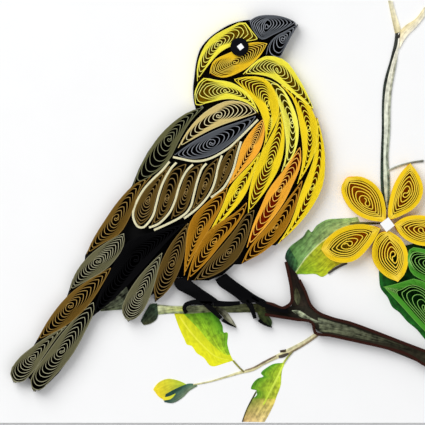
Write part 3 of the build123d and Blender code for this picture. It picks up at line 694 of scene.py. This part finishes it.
def ribbon(line, thickness, low, high):
    """Vertices and faces of a strip on its edge: a rectangle carried along a line.

    Each section has its left and right wall half a thickness from the line, along the line's
    left normal, and reaches from low to high.
    """
    chord = unit(np.diff(line, axis=0))
    turn = np.concatenate([[1], np.sum(chord[1:] * chord[:-1], axis=1), [1]])
    miter = np.clip(1 / np.sqrt(np.clip((1 + turn) / 2, SHARPEST_BEND, 1)), 1, WIDEST_MITER)
    offset = left_of(line) * (thickness / 2 * miter)[:, None]
    count = len(line)
    low = np.broadcast_to(low, count)
    high = np.broadcast_to(high, count)
    corners = ((offset, low), (offset, high), (-offset, high), (-offset, low))
    sections = np.stack([np.column_stack([line + shift, height]) for shift, height in corners], axis=1)
    ring = np.arange(4)
    ahead = (ring + 1) % 4
    start = np.arange(count - 1)[:, None] * 4
    faces = np.stack([start + ring, start + ahead, start + 4 + ahead, start + 4 + ring], axis=2)
    ends = np.array([[0, 3, 2, 1], [0, 1, 2, 3]]) + [[0], [4 * (count - 1)]]
    return sections.reshape(-1, 3), np.concatenate([faces.reshape(-1, 4), ends])


def slab(grid, thickness):
    """Vertices and faces of a thin closed sheet: a grid of top points, and the same lower down.

    The rim joins the outermost points of both, so the sheet has no open edge.
    """
    rows, columns = grid.shape[:2]
    top = grid.reshape(-1, 3)
    points = np.vstack([top, top - [0, 0, thickness]])
    index = np.arange(rows * columns).reshape(rows, columns)
    cells = np.stack([index[:-1, :-1], index[:-1, 1:], index[1:, 1:], index[1:, :-1]], axis=2).reshape(-1, 4)
    under = cells[:, ::-1] + rows * columns
    rim = np.concatenate([index[0], index[1:, -1], index[-1, -2::-1], index[-2:0:-1, 0]])
    ahead = np.roll(rim, -1)
    wall = np.stack([rim, rim + rows * columns, ahead + rows * columns, ahead], axis=1)
    return points, np.concatenate([cells, under, wall])


def rows_between(left, right, shares):
    """Rows of points from each point of the left line to its like on the right one."""
    return left[:, None] + (right - left)[:, None] * shares[None, :, None]


def level(flat, height):
    """A grid of points at one height."""
    return np.dstack([flat, np.full(flat.shape[:2], height)])


def joined(parts):
    """Several sets of vertices and faces as one."""
    starts = np.cumsum([0] + [len(points) for points, _ in parts[:-1]])
    return (np.concatenate([points for points, _ in parts]),
            np.concatenate([faces + start for (_, faces), start in zip(parts, starts)]))


def bundle(lines, width, count, base, high):
    """Strips side by side along each line: copies of the line at even distances to its left.
    The width is one value, or one for each point of a line."""
    parts = []
    for line in lines:
        pitch = np.broadcast_to(width / count, len(line))
        for rank in np.arange(count) - (count - 1) / 2:
            beside = line + left_of(line) * (rank * pitch)[:, None]
            parts.append(ribbon(beside, pitch - BUNDLE_GAP, base, high - BUNDLE_STEP * abs(rank)))
    return joined(parts)


def bundle_values(shape, free, seed):
    """Point values of a bundle: one freedom, and a tone that varies along its strips."""
    count = len(shape[0])
    tones = np.random.default_rng(seed).uniform(*BUNDLE_TONES, count // 4)
    return {"free": np.full(count, free), "tone": np.repeat(tones, 4), "floor": np.zeros(count)}


def add_object(name, points, faces, material):
    """A named object of one material, from vertices and lists of each face's vertices."""
    mesh = bpy.data.meshes.new(name)
    mesh.from_pydata(points.tolist(), [], faces)
    mesh.materials.append(material)
    mesh.update()
    piece = bpy.data.objects.new(name, mesh)
    bpy.context.scene.collection.objects.link(piece)
    return piece


def make_piece(name, shape, material, values, node=None):
    """A piece from vertices and faces, with point values for its material. It stands for a
    node, or for none."""
    points, faces = shape
    piece = add_object(name, points, faces.tolist(), material)
    for key, numbers in values.items():
        numbers = np.asarray(numbers, np.float32)
        kind, field = VALUE_KINDS[numbers.size // len(numbers)]
        attribute = piece.data.attributes.new(key, kind, "POINT")
        attribute.data.foreach_set(field, numbers.ravel())
    piece.data.shade_smooth()
    piece.data.set_sharp_from_angle(angle=math.radians(SHARP_EDGE))
    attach(piece, "root")
    if node:
        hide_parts(node)


def add_node(material, kind, output, inputs=(), **settings):
    """An output of a new node, which has the settings, and on each of the inputs a value or a
    link from another node's output."""
    tree = material.node_tree
    node = tree.nodes.new(f"ShaderNode{kind}")
    for key, value in settings.items():
        setattr(node, key, value)
    for key, value in inputs:
        if isinstance(value, bpy.types.NodeSocket):
            tree.links.new(value, node.inputs[key])
        else:
            node.inputs[key].default_value = value
    return node.outputs[output]


def new_material(name, roughness, specular):
    """An empty principled material, and its shader."""
    material = bpy.data.materials.new(name)
    material.use_nodes = True
    shader = material.node_tree.nodes["Principled BSDF"]
    shader.inputs["Roughness"].default_value = roughness
    shader.inputs["Specular IOR Level"].default_value = specular
    return material, shader


def fibre_bump(material, shader, scale, height):
    """Fibres and pulp of an uncoated sheet as bump; gives the place that its noise is read at."""
    where = add_node(material, "TexCoord", "Object")
    pulp = add_node(material, "TexNoise", "Fac", [("Vector", where), ("Scale", scale), ("Detail", 3.0)])
    bump = add_node(material, "Bump", "Normal", [("Height", pulp), ("Strength", 0.5), ("Distance", height)])
    material.node_tree.links.new(bump, shader.inputs["Normal"])
    return where


def strip_paper(name, face, band, edge, gap):
    """Dyed quilling paper, machine cut into strips: matt faces, and a paler cut edge where it
    stands free; packed edges keep the full colour. The sheet under a coil is painted shade:
    its colour stands for the dark and the light that the walls throw down between the turns.
    Point values: free, tone of the turn, and floor, which marks the sheet of painted shade."""
    material, shader = new_material(name, roughness=0.88, specular=0.05)
    where = fibre_bump(material, shader, STRIP_PULP, STRIP_TOOTH)
    free, tone, floor = (add_node(material, "Attribute", "Fac", attribute_name=key)
                         for key in ("free", "tone", "floor"))
    normal = add_node(material, "NewGeometry", "Normal")
    upward = add_node(material, "SeparateXYZ", "Z", [(0, normal)])
    on_top = add_node(material, "Math", "Value", [(0, upward), (1, 0.5)], operation="GREATER_THAN")
    cut = add_node(material, "Mix", MIXED, [(FACTOR, free), (FIRST, (*band, 1)), (SECOND, (*edge, 1))],
                   data_type="RGBA")
    paper = add_node(material, "Mix", MIXED, [(FACTOR, on_top), (FIRST, (*face, 1)), (SECOND, cut)],
                     data_type="RGBA")
    cloud = add_node(material, "TexNoise", "Fac",
                     [("Vector", where), ("Scale", STRIP_CLOUD), ("Detail", 2.0)])
    shade = add_node(material, "Math", "Value", [(0, cloud), (1, CLOUD_SWING), (2, 1 - CLOUD_SWING / 2)],
                     operation="MULTIPLY_ADD")
    dyed = add_node(material, "Mix", MIXED, [(FACTOR, 1.0), (FIRST, paper), (SECOND, tone)],
                    data_type="RGBA", blend_type="MULTIPLY")
    strip = add_node(material, "Mix", MIXED, [(FACTOR, 1.0), (FIRST, dyed), (SECOND, shade)],
                     data_type="RGBA", blend_type="MULTIPLY")
    # Painted shade: the sheet under a coil takes the gap colour, for the shade between the turns
    colour = add_node(material, "Mix", MIXED, [(FACTOR, floor), (FIRST, strip), (SECOND, (*gap, 1))],
                      data_type="RGBA")
    material.node_tree.links.new(colour, shader.inputs["Base Color"])
    return material


def sheet_paper(name, colour, pulp=BOARD_PULP):
    """Uncoated board or cover paper: one dye, a soft cloud of it and a fine tooth."""
    material, shader = new_material(name, roughness=0.85, specular=0.2)
    where = fibre_bump(material, shader, pulp, BOARD_TOOTH)
    cloud = add_node(material, "TexNoise", "Fac",
                     [("Vector", where), ("Scale", BOARD_CLOUD), ("Detail", 4.0)])
    darker = tuple(DARKEST_CLOUD * value for value in colour)
    paper = add_node(material, "Mix", MIXED, [(FACTOR, cloud), (FIRST, (*darker, 1)), (SECOND, (*colour, 1))],
                     data_type="RGBA")
    material.node_tree.links.new(paper, shader.inputs["Base Color"])
    return material


def printed_ink(name):
    """Watercolour print on board: inks from point colours, with the brush's strokes and blots
    as two noises. The point value grain says how strong they are."""
    material, shader = new_material(name, roughness=0.8, specular=0.2)
    where = fibre_bump(material, shader, BOARD_PULP, BOARD_TOOTH)
    ink = add_node(material, "Attribute", "Color", attribute_name="ink")
    grain = add_node(material, "Attribute", "Fac", attribute_name="grain")
    brush = add_node(material, "Attribute", "Vector", attribute_name="brush")
    stroke = add_node(material, "TexNoise", "Fac", [("Vector", brush), ("Scale", 1.0), ("Detail", 2.0)])
    blot = add_node(material, "TexNoise", "Fac",
                    [("Vector", where), ("Scale", COARSE_MARKS), ("Detail", 3.0)])
    both = add_node(material, "Math", "Value", [(0, stroke), (1, blot)], operation="ADD")
    swing = add_node(material, "MapRange", "Result", [("Value", both), ("From Min", 0.75), ("From Max", 1.25),
                                                      ("To Min", -0.8), ("To Max", 0.8)])
    wash = add_node(material, "Math", "Value", [(0, swing), (1, grain), (2, 1.0)], operation="MULTIPLY_ADD")
    bright = add_node(material, "Math", "Value", [(0, wash), (1, DARKEST_WASH)], operation="MAXIMUM")
    colour = add_node(material, "Mix", MIXED, [(FACTOR, 1.0), (FIRST, ink), (SECOND, bright)],
                      data_type="RGBA", blend_type="MULTIPLY")
    material.node_tree.links.new(colour, shader.inputs["Base Color"])
    return material


def pressed_card(name):
    """Black card, pressed smooth: almost no gloss, and a breath of blue in its cloud: a painted
    bluish sheen.
    """
    material, shader = new_material(name, roughness=0.5, specular=0.05)
    where = add_node(material, "TexCoord", "Object")
    cloud = add_node(material, "TexNoise", "Fac", [("Vector", where), ("Scale", COARSE_MARKS)])
    # The blue is painted sheen, spread as a cloud over the black
    black, blue = ((*srgb(code), 1) for code in ("#050509", "#0A0B14"))
    colour = add_node(material, "Mix", MIXED, [(FACTOR, cloud), (FIRST, black), (SECOND, blue)],
                      data_type="RGBA")
    material.node_tree.links.new(colour, shader.inputs["Base Color"])
    return material


def lamp(name, location, energy, size, target):
    """A square area light that looks at a target."""
    data = bpy.data.lights.new(name, "AREA")
    data.energy = energy
    data.size = size
    light = bpy.data.objects.new(name, data)
    light.location = location
    away = np.subtract(location, target)
    light.rotation_euler = (math.atan2(math.hypot(away[0], away[1]), away[2]), 0,
                            math.atan2(away[0], -away[1]))
    bpy.context.scene.collection.objects.link(light)


def colour_property(name, code, description):
    """A user's colour for a paper, from its hex value."""
    return bpy.props.FloatVectorProperty(name=name, description=description, subtype="COLOR", size=3,
                                         min=0, max=1, default=srgb(code))


def length_property(name, value, description):
    """A user's length."""
    return bpy.props.FloatProperty(name=name, description=description, subtype="DISTANCE", unit="LENGTH",
                                   default=value, min=0, precision=5)


class QuillSizes(bpy.types.PropertyGroup):
    """Sizes of the strips."""
    thickness: length_property("Strip thickness", 0.00018, "Thickness of one quilling strip")
    pitch: length_property("Pitch of packed turns", 0.000205, "From one packed turn to the next")
    jitter: length_property("Uneven top", 0.00003, "How far a turn's top edge may stand lower")
    leg_pitch: length_property("Pitch of a leg's folds", 0.00031, "From one fold of a leg to the next")
    heart: length_property("Heart", 0.00076, "Width of the innermost turn")
    outline: length_property("Wing outline", 0.00054, "Width of the strips that outline the wing")
    bark: length_property("Branch edge", 0.00072, "Width of the strips along the branch")
    toe: length_property("Toe", 0.0016, "Width of a toe where it leaves the foot")
    bundle: bpy.props.IntProperty(name="Strips in a bundle", default=4, min=1, max=8,
                                  description="Strips glued side by side in a wing or branch edge")


class QuillColours(bpy.types.PropertyGroup):
    """Colours of the papers, as packed strips show them from above."""
    yellow_paper: colour_property("Yellow", "#FCD80C", "Most breast coils")
    lemon_paper: colour_property("Lemon", "#FFF236", "Crown, nape and throat coils")
    pale_yellow_paper: colour_property("Pale yellow", "#FFF64C", "Second breast coil")
    golden_paper: colour_property("Golden", "#F6C512", "Cheek coil")
    orange_paper: colour_property("Orange", "#FFB02A", "Fourth breast coil and first belly coil")
    gold_brown_paper: colour_property("Gold-brown", "#A66F08", "Second to fourth belly coils")
    mustard_paper: colour_property("Mustard", "#634710", "Third tail coil and lower back coil")
    brown_paper: colour_property("Brown", "#513C0D", "Wing coils, and a rump and a belly coil")
    olive_grey_paper: colour_property("Olive-grey", "#575435", "Tail and rump coils")
    dark_olive_paper: colour_property("Dark olive", "#5C5A36", "Upper back coil")
    tan_paper: colour_property("Tan", "#D9BF72", "Shoulder coil")
    slate_paper: colour_property("Slate", "#42464B", "Beak and covert coils")
    cream_paper: colour_property("Cream", "#F3EBB5", "Strips that outline the wing")
    black_paper: colour_property("Black", "#060607", "Rump coil, legs, feet, eye and backing")
    bark_paper: colour_property("Bark", "#2E1712", "Strips along the branch")
    petal_paper: colour_property("Petal yellow", "#F9CF08", "Blossom")
    leaf_paper: colour_property("Leaf green", "#338C14", "Quilled leaves")
    white_card: colour_property("White", "#FDFDFC", "Card, flower centre and glint")


# By paper: the pale cut edge of a free strip, and the painted shade between the turns, which
# colours the sheet under a coil
EDGES_AND_PAINTED_GAPS = {
    "yellow_paper": ("#FCEB50", "#C47A08"), "pale_yellow_paper": ("#FDF98C", "#8E7E18"),
    "lemon_paper": ("#FDF77A", "#BE9A18"), "golden_paper": ("#F8D650", "#B4680A"),
    "orange_paper": ("#FBC25A", "#D0560C"), "gold_brown_paper": ("#D29C3C", "#6E3A06"),
    "mustard_paper": ("#AC8C4C", "#24160A"), "brown_paper": ("#947A48", "#1C1206"),
    "olive_grey_paper": ("#A9A687", "#0C0B06"), "dark_olive_paper": ("#8A8C6C", "#0A0C08"),
    "tan_paper": ("#EADFAC", "#3E2E12"), "slate_paper": ("#8C9096", "#0C0D10"),
    "cream_paper": ("#FBF6D8", "#8A7A40"), "black_paper": ("#0E0E10", "#020202"),
    "bark_paper": ("#46261E", "#0A0504"), "petal_paper": ("#FFDC48", "#FFA204"),
    "leaf_paper": ("#8EC464", "#0C4606"),
}

# A strip's wall is the colour of its packed edges, times and to the power of these
WALL_SHARE = 0.9
WALL_POWER = 1.15

# Nodes whose packed turns fill another share than their winding's
PACKED = {"breast_coil_1": 0.84, "breast_coil_6": 0.86, "throat_coil": 0.62, "belly_coil_2": 0.84}

# Nodes whose strips are of another shade than their paper's own
SHADE_OF = {"crown_coil": "lemon_paper", "nape_coil": "lemon_paper", "throat_coil": "lemon_paper"}

# Papers made so far, by shade and colour
PAPERS = {}


def paper_for(node):
    """The strip paper of a node, made once for each colour that the user gives it."""
    shade = SHADE_OF.get(node, SLOT_OF[node])
    band = tuple(getattr(bpy.context.scene.quill_colours, shade))
    if (shade, band) not in PAPERS:
        face = tuple(WALL_SHARE * value**WALL_POWER for value in band)
        # The gap colour is painted shade, laid on the sheet under the coil
        edge, gap = EDGES_AND_PAINTED_GAPS[shade]
        PAPERS[shade, band] = strip_paper(f"dyed_quilling_{shade}", face, band, srgb(edge), srgb(gap))
    return PAPERS[shade, band]


def wound_piece(node, coil, winding, base):
    """A coil as one strip that stands on its base, with a slightly uneven top edge, and a sheet
    of painted shade that shows between its turns: rows across from one side line to the other."""
    sizes = bpy.context.scene.quill_sizes
    seed = sum(map(ord, node))
    line, tau, free = wind(coil, winding, sizes, seed)
    noise = np.random.default_rng(seed)
    knots = np.arange(int(tau.max()) + 2)
    height = base + STRIP_HEIGHT - sizes.jitter * np.interp(tau, knots, noise.uniform(0, 1, len(knots)))
    tone = np.interp(tau, knots, noise.uniform(*COIL_TONES, len(knots)))
    strip = ribbon(line, sizes.thickness * winding.stout, base, height)
    # The sheet between the turns is painted shade
    left, right = side_lines(coil, PAINTED_SHADE_ALONG)
    rows = rows_between(left, right, PAINTED_SHADE_OVER)
    if lies_left(left, right):
        rows = rows[:, ::-1]
    painted_shade_sheet = slab(level(rows, base + PAINTED_SHADE_SHEET), PAINTED_SHADE_SHEET)
    painted_shade_points = len(painted_shade_sheet[0])
    values = {"free": np.append(np.repeat(free, 4), np.zeros(painted_shade_points)),
              "tone": np.append(np.repeat(tone, 4), np.ones(painted_shade_points)),
              "floor": np.append(np.zeros(4 * len(line)), np.ones(painted_shade_points))}
    make_piece(f"{node}_strip", joined([strip, painted_shade_sheet]), paper_for(node), values, node)


class QUILL_OT_bird(bpy.types.Operator):
    """Wind every coil of the bird, and lay the black rim round its head"""
    bl_idname = "quill.bird"
    bl_label = "Wind the bird's coils"

    def execute(self, context):
        for coils, winding in ((TAIL_COILS, TAIL), (COVERT_COILS, QUILL), (WING_COILS, WING),
                               (BEAK_COILS, BEAK), (HEAD_COILS, HEAD), (BREAST_COILS, FEATHER)):
            for node, coil in coils.items():
                share = PACKED.get(node, winding.packed)
                wound_piece(node, coil, winding._replace(packed=share), BACKING_TOP)
        outer, inner = (fitted(line, np.linspace(0, 1, RIM_POINTS)) for line in HEAD_RIM)
        rim_thickness = PAINTED_SHADE_SHEET * 3
        rim = slab(level(np.stack([inner, outer], axis=1), BACKING_TOP + PAINTED_SHADE_SHEET), rim_thickness)
        values = bundle_values(rim, free=0, seed=1)
        make_piece("head_rim", rim, paper_for("bird_backing"), values)
        return {"FINISHED"}


class QUILL_OT_blossom(bpy.types.Operator):
    """Wind the petals and leaves"""
    bl_idname = "quill.blossom"
    bl_label = "Wind the blossom"

    def execute(self, context):
        for coils, winding in ((PETAL_COILS, PETAL), (LEAF_COILS, LEAF)):
            for node, coil in coils.items():
                wound_piece(node, coil, winding, CARD_TOP)
        return {"FINISHED"}


class QUILL_OT_outlines(bpy.types.Operator):
    """Glue the cream wing outlines and the dark edges of the branch"""
    bl_idname = "quill.outlines"
    bl_label = "Glue the outlines"

    def execute(self, context):
        sizes = context.scene.quill_sizes
        shares = np.linspace(0, 1, BUNDLE_POINTS)
        for lines, width, base in ((CREAM_LINES, sizes.outline, BACKING_TOP),
                                   (BRANCH_LINES, sizes.bark, CARD_TOP)):
            for node, points in lines.items():
                shape = bundle([fitted(points, shares)], width, sizes.bundle, base, base + STRIP_HEIGHT)
                values = bundle_values(shape, FREE_OUTLINE, len(node))
                make_piece(f"{node}_bundle", shape, paper_for(node), values, node)
        return {"FINISHED"}


class QUILL_OT_feet(bpy.types.Operator):
    """Fold the legs, and set the toes and claws"""
    bl_idname = "quill.feet"
    bl_label = "Fold the legs and feet"

    def execute(self, context):
        sizes = context.scene.quill_sizes
        top = CARD_TOP + STRIP_HEIGHT
        shares = np.linspace(0, 1, FOOT_POINTS)
        fold_thickness = 0.8 * sizes.leg_pitch
        for node, edges in LEG_EDGES.items():
            upper, lower = (fitted(edge, shares) for edge in edges)
            width = np.linalg.norm(upper - lower, axis=1).max()
            passes = 2 * int(width / sizes.leg_pitch / 2) + 1
            runs = upper + (lower - upper) * np.linspace(0, 1, passes)[:, None, None]
            runs[1::2] = runs[1::2, ::-1]
            shape = ribbon(runs.reshape(-1, 2), fold_thickness, CARD_TOP, top)
            values = bundle_values(shape, FREE_LEG, len(node))
            make_piece(f"{node}_fold", shape, paper_for(node), values, node)
        # A toe narrows by nearly half; a claw starts as wide as that, thins and sinks
        strips_in_toe = 3
        toe_width = sizes.toe * (1 - 0.45 * shares)
        claw_width = sizes.toe * (0.55 - 0.4 * shares)
        claw_top = CARD_TOP + STRIP_HEIGHT * (1 - 0.55 * shares)
        for node, toes in TOE_LINES.items():
            lines = [fitted(points, shares) for points in toes]
            toe_shape = bundle(lines, toe_width, strips_in_toe, CARD_TOP, top)
            claw_shape = ribbon(fitted(CLAW_LINES[node], shares), claw_width, CARD_TOP, claw_top)
            shape = joined([toe_shape, claw_shape])
            values = bundle_values(shape, FREE_TOE, seed=3)
            make_piece(f"{node}_bundle", shape, paper_for(node), values, node)
        return {"FINISHED"}


class QUILL_OT_flat_papers(bpy.types.Operator):
    """Cut the card, the backing, the flower's centre and the glint"""
    bl_idname = "quill.flat_papers"
    bl_label = "Cut the flat papers"

    def execute(self, context):
        colours = context.scene.quill_colours
        white = sheet_paper("white_bristol_board", tuple(colours.white_card))
        black = sheet_paper("black_cover_paper", tuple(colours.black_paper))
        for node, material in (("card", white), ("bird_backing", black), ("flower_centre", white),
                               ("eye_glint", white)):
            frame["nodes"][node].data.materials.clear()
            frame["nodes"][node].data.materials.append(material)
        return {"FINISHED"}


class QUILL_OT_eye(bpy.types.Operator):
    """Press the eye, a low black disc with a rolled rim: a quarter circle turned round it"""
    bl_idname = "quill.eye"
    bl_label = "Press the eye"

    def execute(self, context):
        sides, bevel_points = 96, 6
        low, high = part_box("eye")
        centre = np.array([(low.x + high.x) / 2, (low.y + high.y) / 2])
        radius = (high.x - low.x) / 2
        flat_radius = 0.6 * radius
        bevel = 0.28 * (high.z - low.z)
        rise = np.linspace(0, math.pi / 2, bevel_points)
        ring_radius = np.concatenate([[radius], radius - bevel * (1 - np.cos(rise)), [flat_radius]])
        ring_height = np.concatenate([[low.z], high.z - bevel * (1 - np.sin(rise)), [high.z]])
        angle = np.linspace(0, 2 * math.pi, sides + 1)[:-1]
        rings = np.stack([centre[0] + np.outer(ring_radius, np.cos(angle)),
                          centre[1] + np.outer(ring_radius, np.sin(angle)),
                          np.repeat(ring_height[:, None], sides, axis=1)], axis=2)
        index = np.arange(rings.size // 3).reshape(rings.shape[:2])
        ahead = np.roll(index, -1, axis=1)
        walls = np.stack([index[:-1], ahead[:-1], ahead[1:], index[1:]], axis=2).reshape(-1, 4)
        points = np.vstack([rings.reshape(-1, 3), [[*centre, low.z]], [[*centre, high.z]]])
        pole = len(points) - 1
        cap = np.stack([index[-1], ahead[-1], np.full(sides, pole)], axis=1)
        floor = np.stack([ahead[0], index[0], np.full(sides, pole - 1)], axis=1)
        faces = [*walls.tolist(), *cap.tolist(), *floor.tolist()]
        disc = add_object("eye_disc", points, faces, pressed_card("pressed_black_card"))
        disc.data.shade_smooth()
        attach(disc, "root")
        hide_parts("eye")
        return {"FINISHED"}


class QUILL_OT_print(bpy.types.Operator):
    """Print leaves, twigs, bud and bark on the card, as fields between two lines"""
    bl_idname = "quill.print"
    bl_label = "Print the card"

    def execute(self, context):
        along = np.linspace(0, 1, FIELD_ALONG)
        over = np.linspace(0, 1, FIELD_OVER)
        material = printed_ink("watercolour_print")
        for layer, (name, field) in enumerate(PRINTED_FIELDS.items(), 1):
            left, right = (fitted(line, along) for line in (field.left, field.right))
            flat = rows_between(left, right, over)
            grid = level(flat, CARD_TOP + INK_LAYER * layer)
            inks = np.array([srgb(code) for code in field.inks])
            start = inks[0] + (inks[1] - inks[0]) * over[:, None]
            end = inks[2] + (inks[3] - inks[2]) * over[:, None]
            colours = start[None] + (end - start)[None] * along[:, None, None]
            breadth = np.linalg.norm(left - right, axis=1).max()
            across = over[None] * breadth / BRISTLE
            forward = along[:, None] * run_of((left + right) / 2) / STROKE
            brush = np.dstack([across + field.slant * forward, forward + 0 * across,
                               np.full(flat.shape[:2], FIELD_SHIFT * layer)])
            if lies_left(left, right):
                grid, colours, brush = grid[:, ::-1], colours[:, ::-1], brush[:, ::-1]
            ink = np.column_stack([colours.reshape(-1, 3), np.ones(colours.size // 3)])
            values = {"ink": np.tile(ink, (2, 1)), "grain": np.full(2 * len(ink), field.grain),
                      "brush": np.tile(brush.reshape(-1, 3), (2, 1))}
            make_piece(name, slab(grid, INK_LAYER * layer), material, values)
        return {"FINISHED"}


class QUILL_OT_stage(bpy.types.Operator):
    """Set the floor, the lamps, the world and the camera"""
    bl_idname = "quill.stage"
    bl_label = "Set the stage"

    def execute(self, context):
        scene = context.scene
        reach, gap, thickness = 1.6, 0.0002, 0.004
        flat = np.array([[[-reach, -reach], [reach, -reach]], [[-reach, reach], [reach, reach]]])
        points, faces = slab(level(flat, -gap), thickness)
        paper = sheet_paper("pale_table_paper", srgb("#F1F1F0"), pulp=COARSE_MARKS)
        floor = add_object("table_top", points, faces.tolist(), paper)

        world = bpy.data.worlds.new("studio")
        world.use_nodes = True
        background = world.node_tree.nodes["Background"]
        background.inputs["Color"].default_value = (*srgb("#FAFBFF"), 1)
        background.inputs["Strength"].default_value = 0.44
        scene.world = world
        middle = (*place(VIEW_MIDDLE), 0)
        lamp("window_left", location=(-0.65, 0.70, 0.95), energy=14.9, size=1.1, target=middle)
        lamp("fill_front", location=(0.30, -0.35, 0.80), energy=1.15, size=0.6, target=middle)

        data = bpy.data.cameras.new("camera")
        data.sensor_width = 36
        data.lens = data.sensor_width * VIEW_HEIGHT / (VIEW_STEPS * STEP)
        data.clip_start = 0.01
        camera = bpy.data.objects.new("camera", data)
        camera.location = (*place(VIEW_MIDDLE), BACKING_TOP + STRIP_HEIGHT + VIEW_HEIGHT)
        scene.collection.objects.link(camera)
        scene.camera = camera
        scene.view_settings.view_transform = "Standard"
        return {"FINISHED"}


class QUILL_PT_panel(bpy.types.Panel):
    """Sizes, colours and steps of the quilled picture"""
    bl_label = "Quilled bird picture"
    bl_idname = "QUILL_PT_panel"
    bl_space_type = "VIEW_3D"
    bl_region_type = "UI"
    bl_category = "Quilling"

    def draw(self, context):
        for name in QuillSizes.__annotations__:
            self.layout.prop(context.scene.quill_sizes, name)
        for name in QuillColours.__annotations__:
            self.layout.prop(context.scene.quill_colours, name)
        for step in STEPS:
            self.layout.operator(step.bl_idname)


STEPS = [QUILL_OT_stage, QUILL_OT_flat_papers, QUILL_OT_print, QUILL_OT_bird, QUILL_OT_blossom,
         QUILL_OT_outlines, QUILL_OT_feet, QUILL_OT_eye]
CLASSES = [QuillSizes, QuillColours, *STEPS, QUILL_PT_panel]


def register():
    """Add the classes and the scene's settings."""
    for each in CLASSES:
        bpy.utils.register_class(each)
    bpy.types.Scene.quill_sizes = bpy.props.PointerProperty(type=QuillSizes)
    bpy.types.Scene.quill_colours = bpy.props.PointerProperty(type=QuillColours)


def unregister():
    """Take the classes and the scene's settings away."""
    del bpy.types.Scene.quill_colours
    del bpy.types.Scene.quill_sizes
    for each in reversed(CLASSES):
        bpy.utils.unregister_class(each)


def main():
    """Make the picture step by step."""
    register()
    bpy.ops.quill.stage()
    bpy.ops.quill.flat_papers()
    bpy.ops.quill.print()
    bpy.ops.quill.bird()
    bpy.ops.quill.blossom()
    bpy.ops.quill.outlines()
    bpy.ops.quill.feet()
    bpy.ops.quill.eye()


if __name__ == "__main__":
    main()
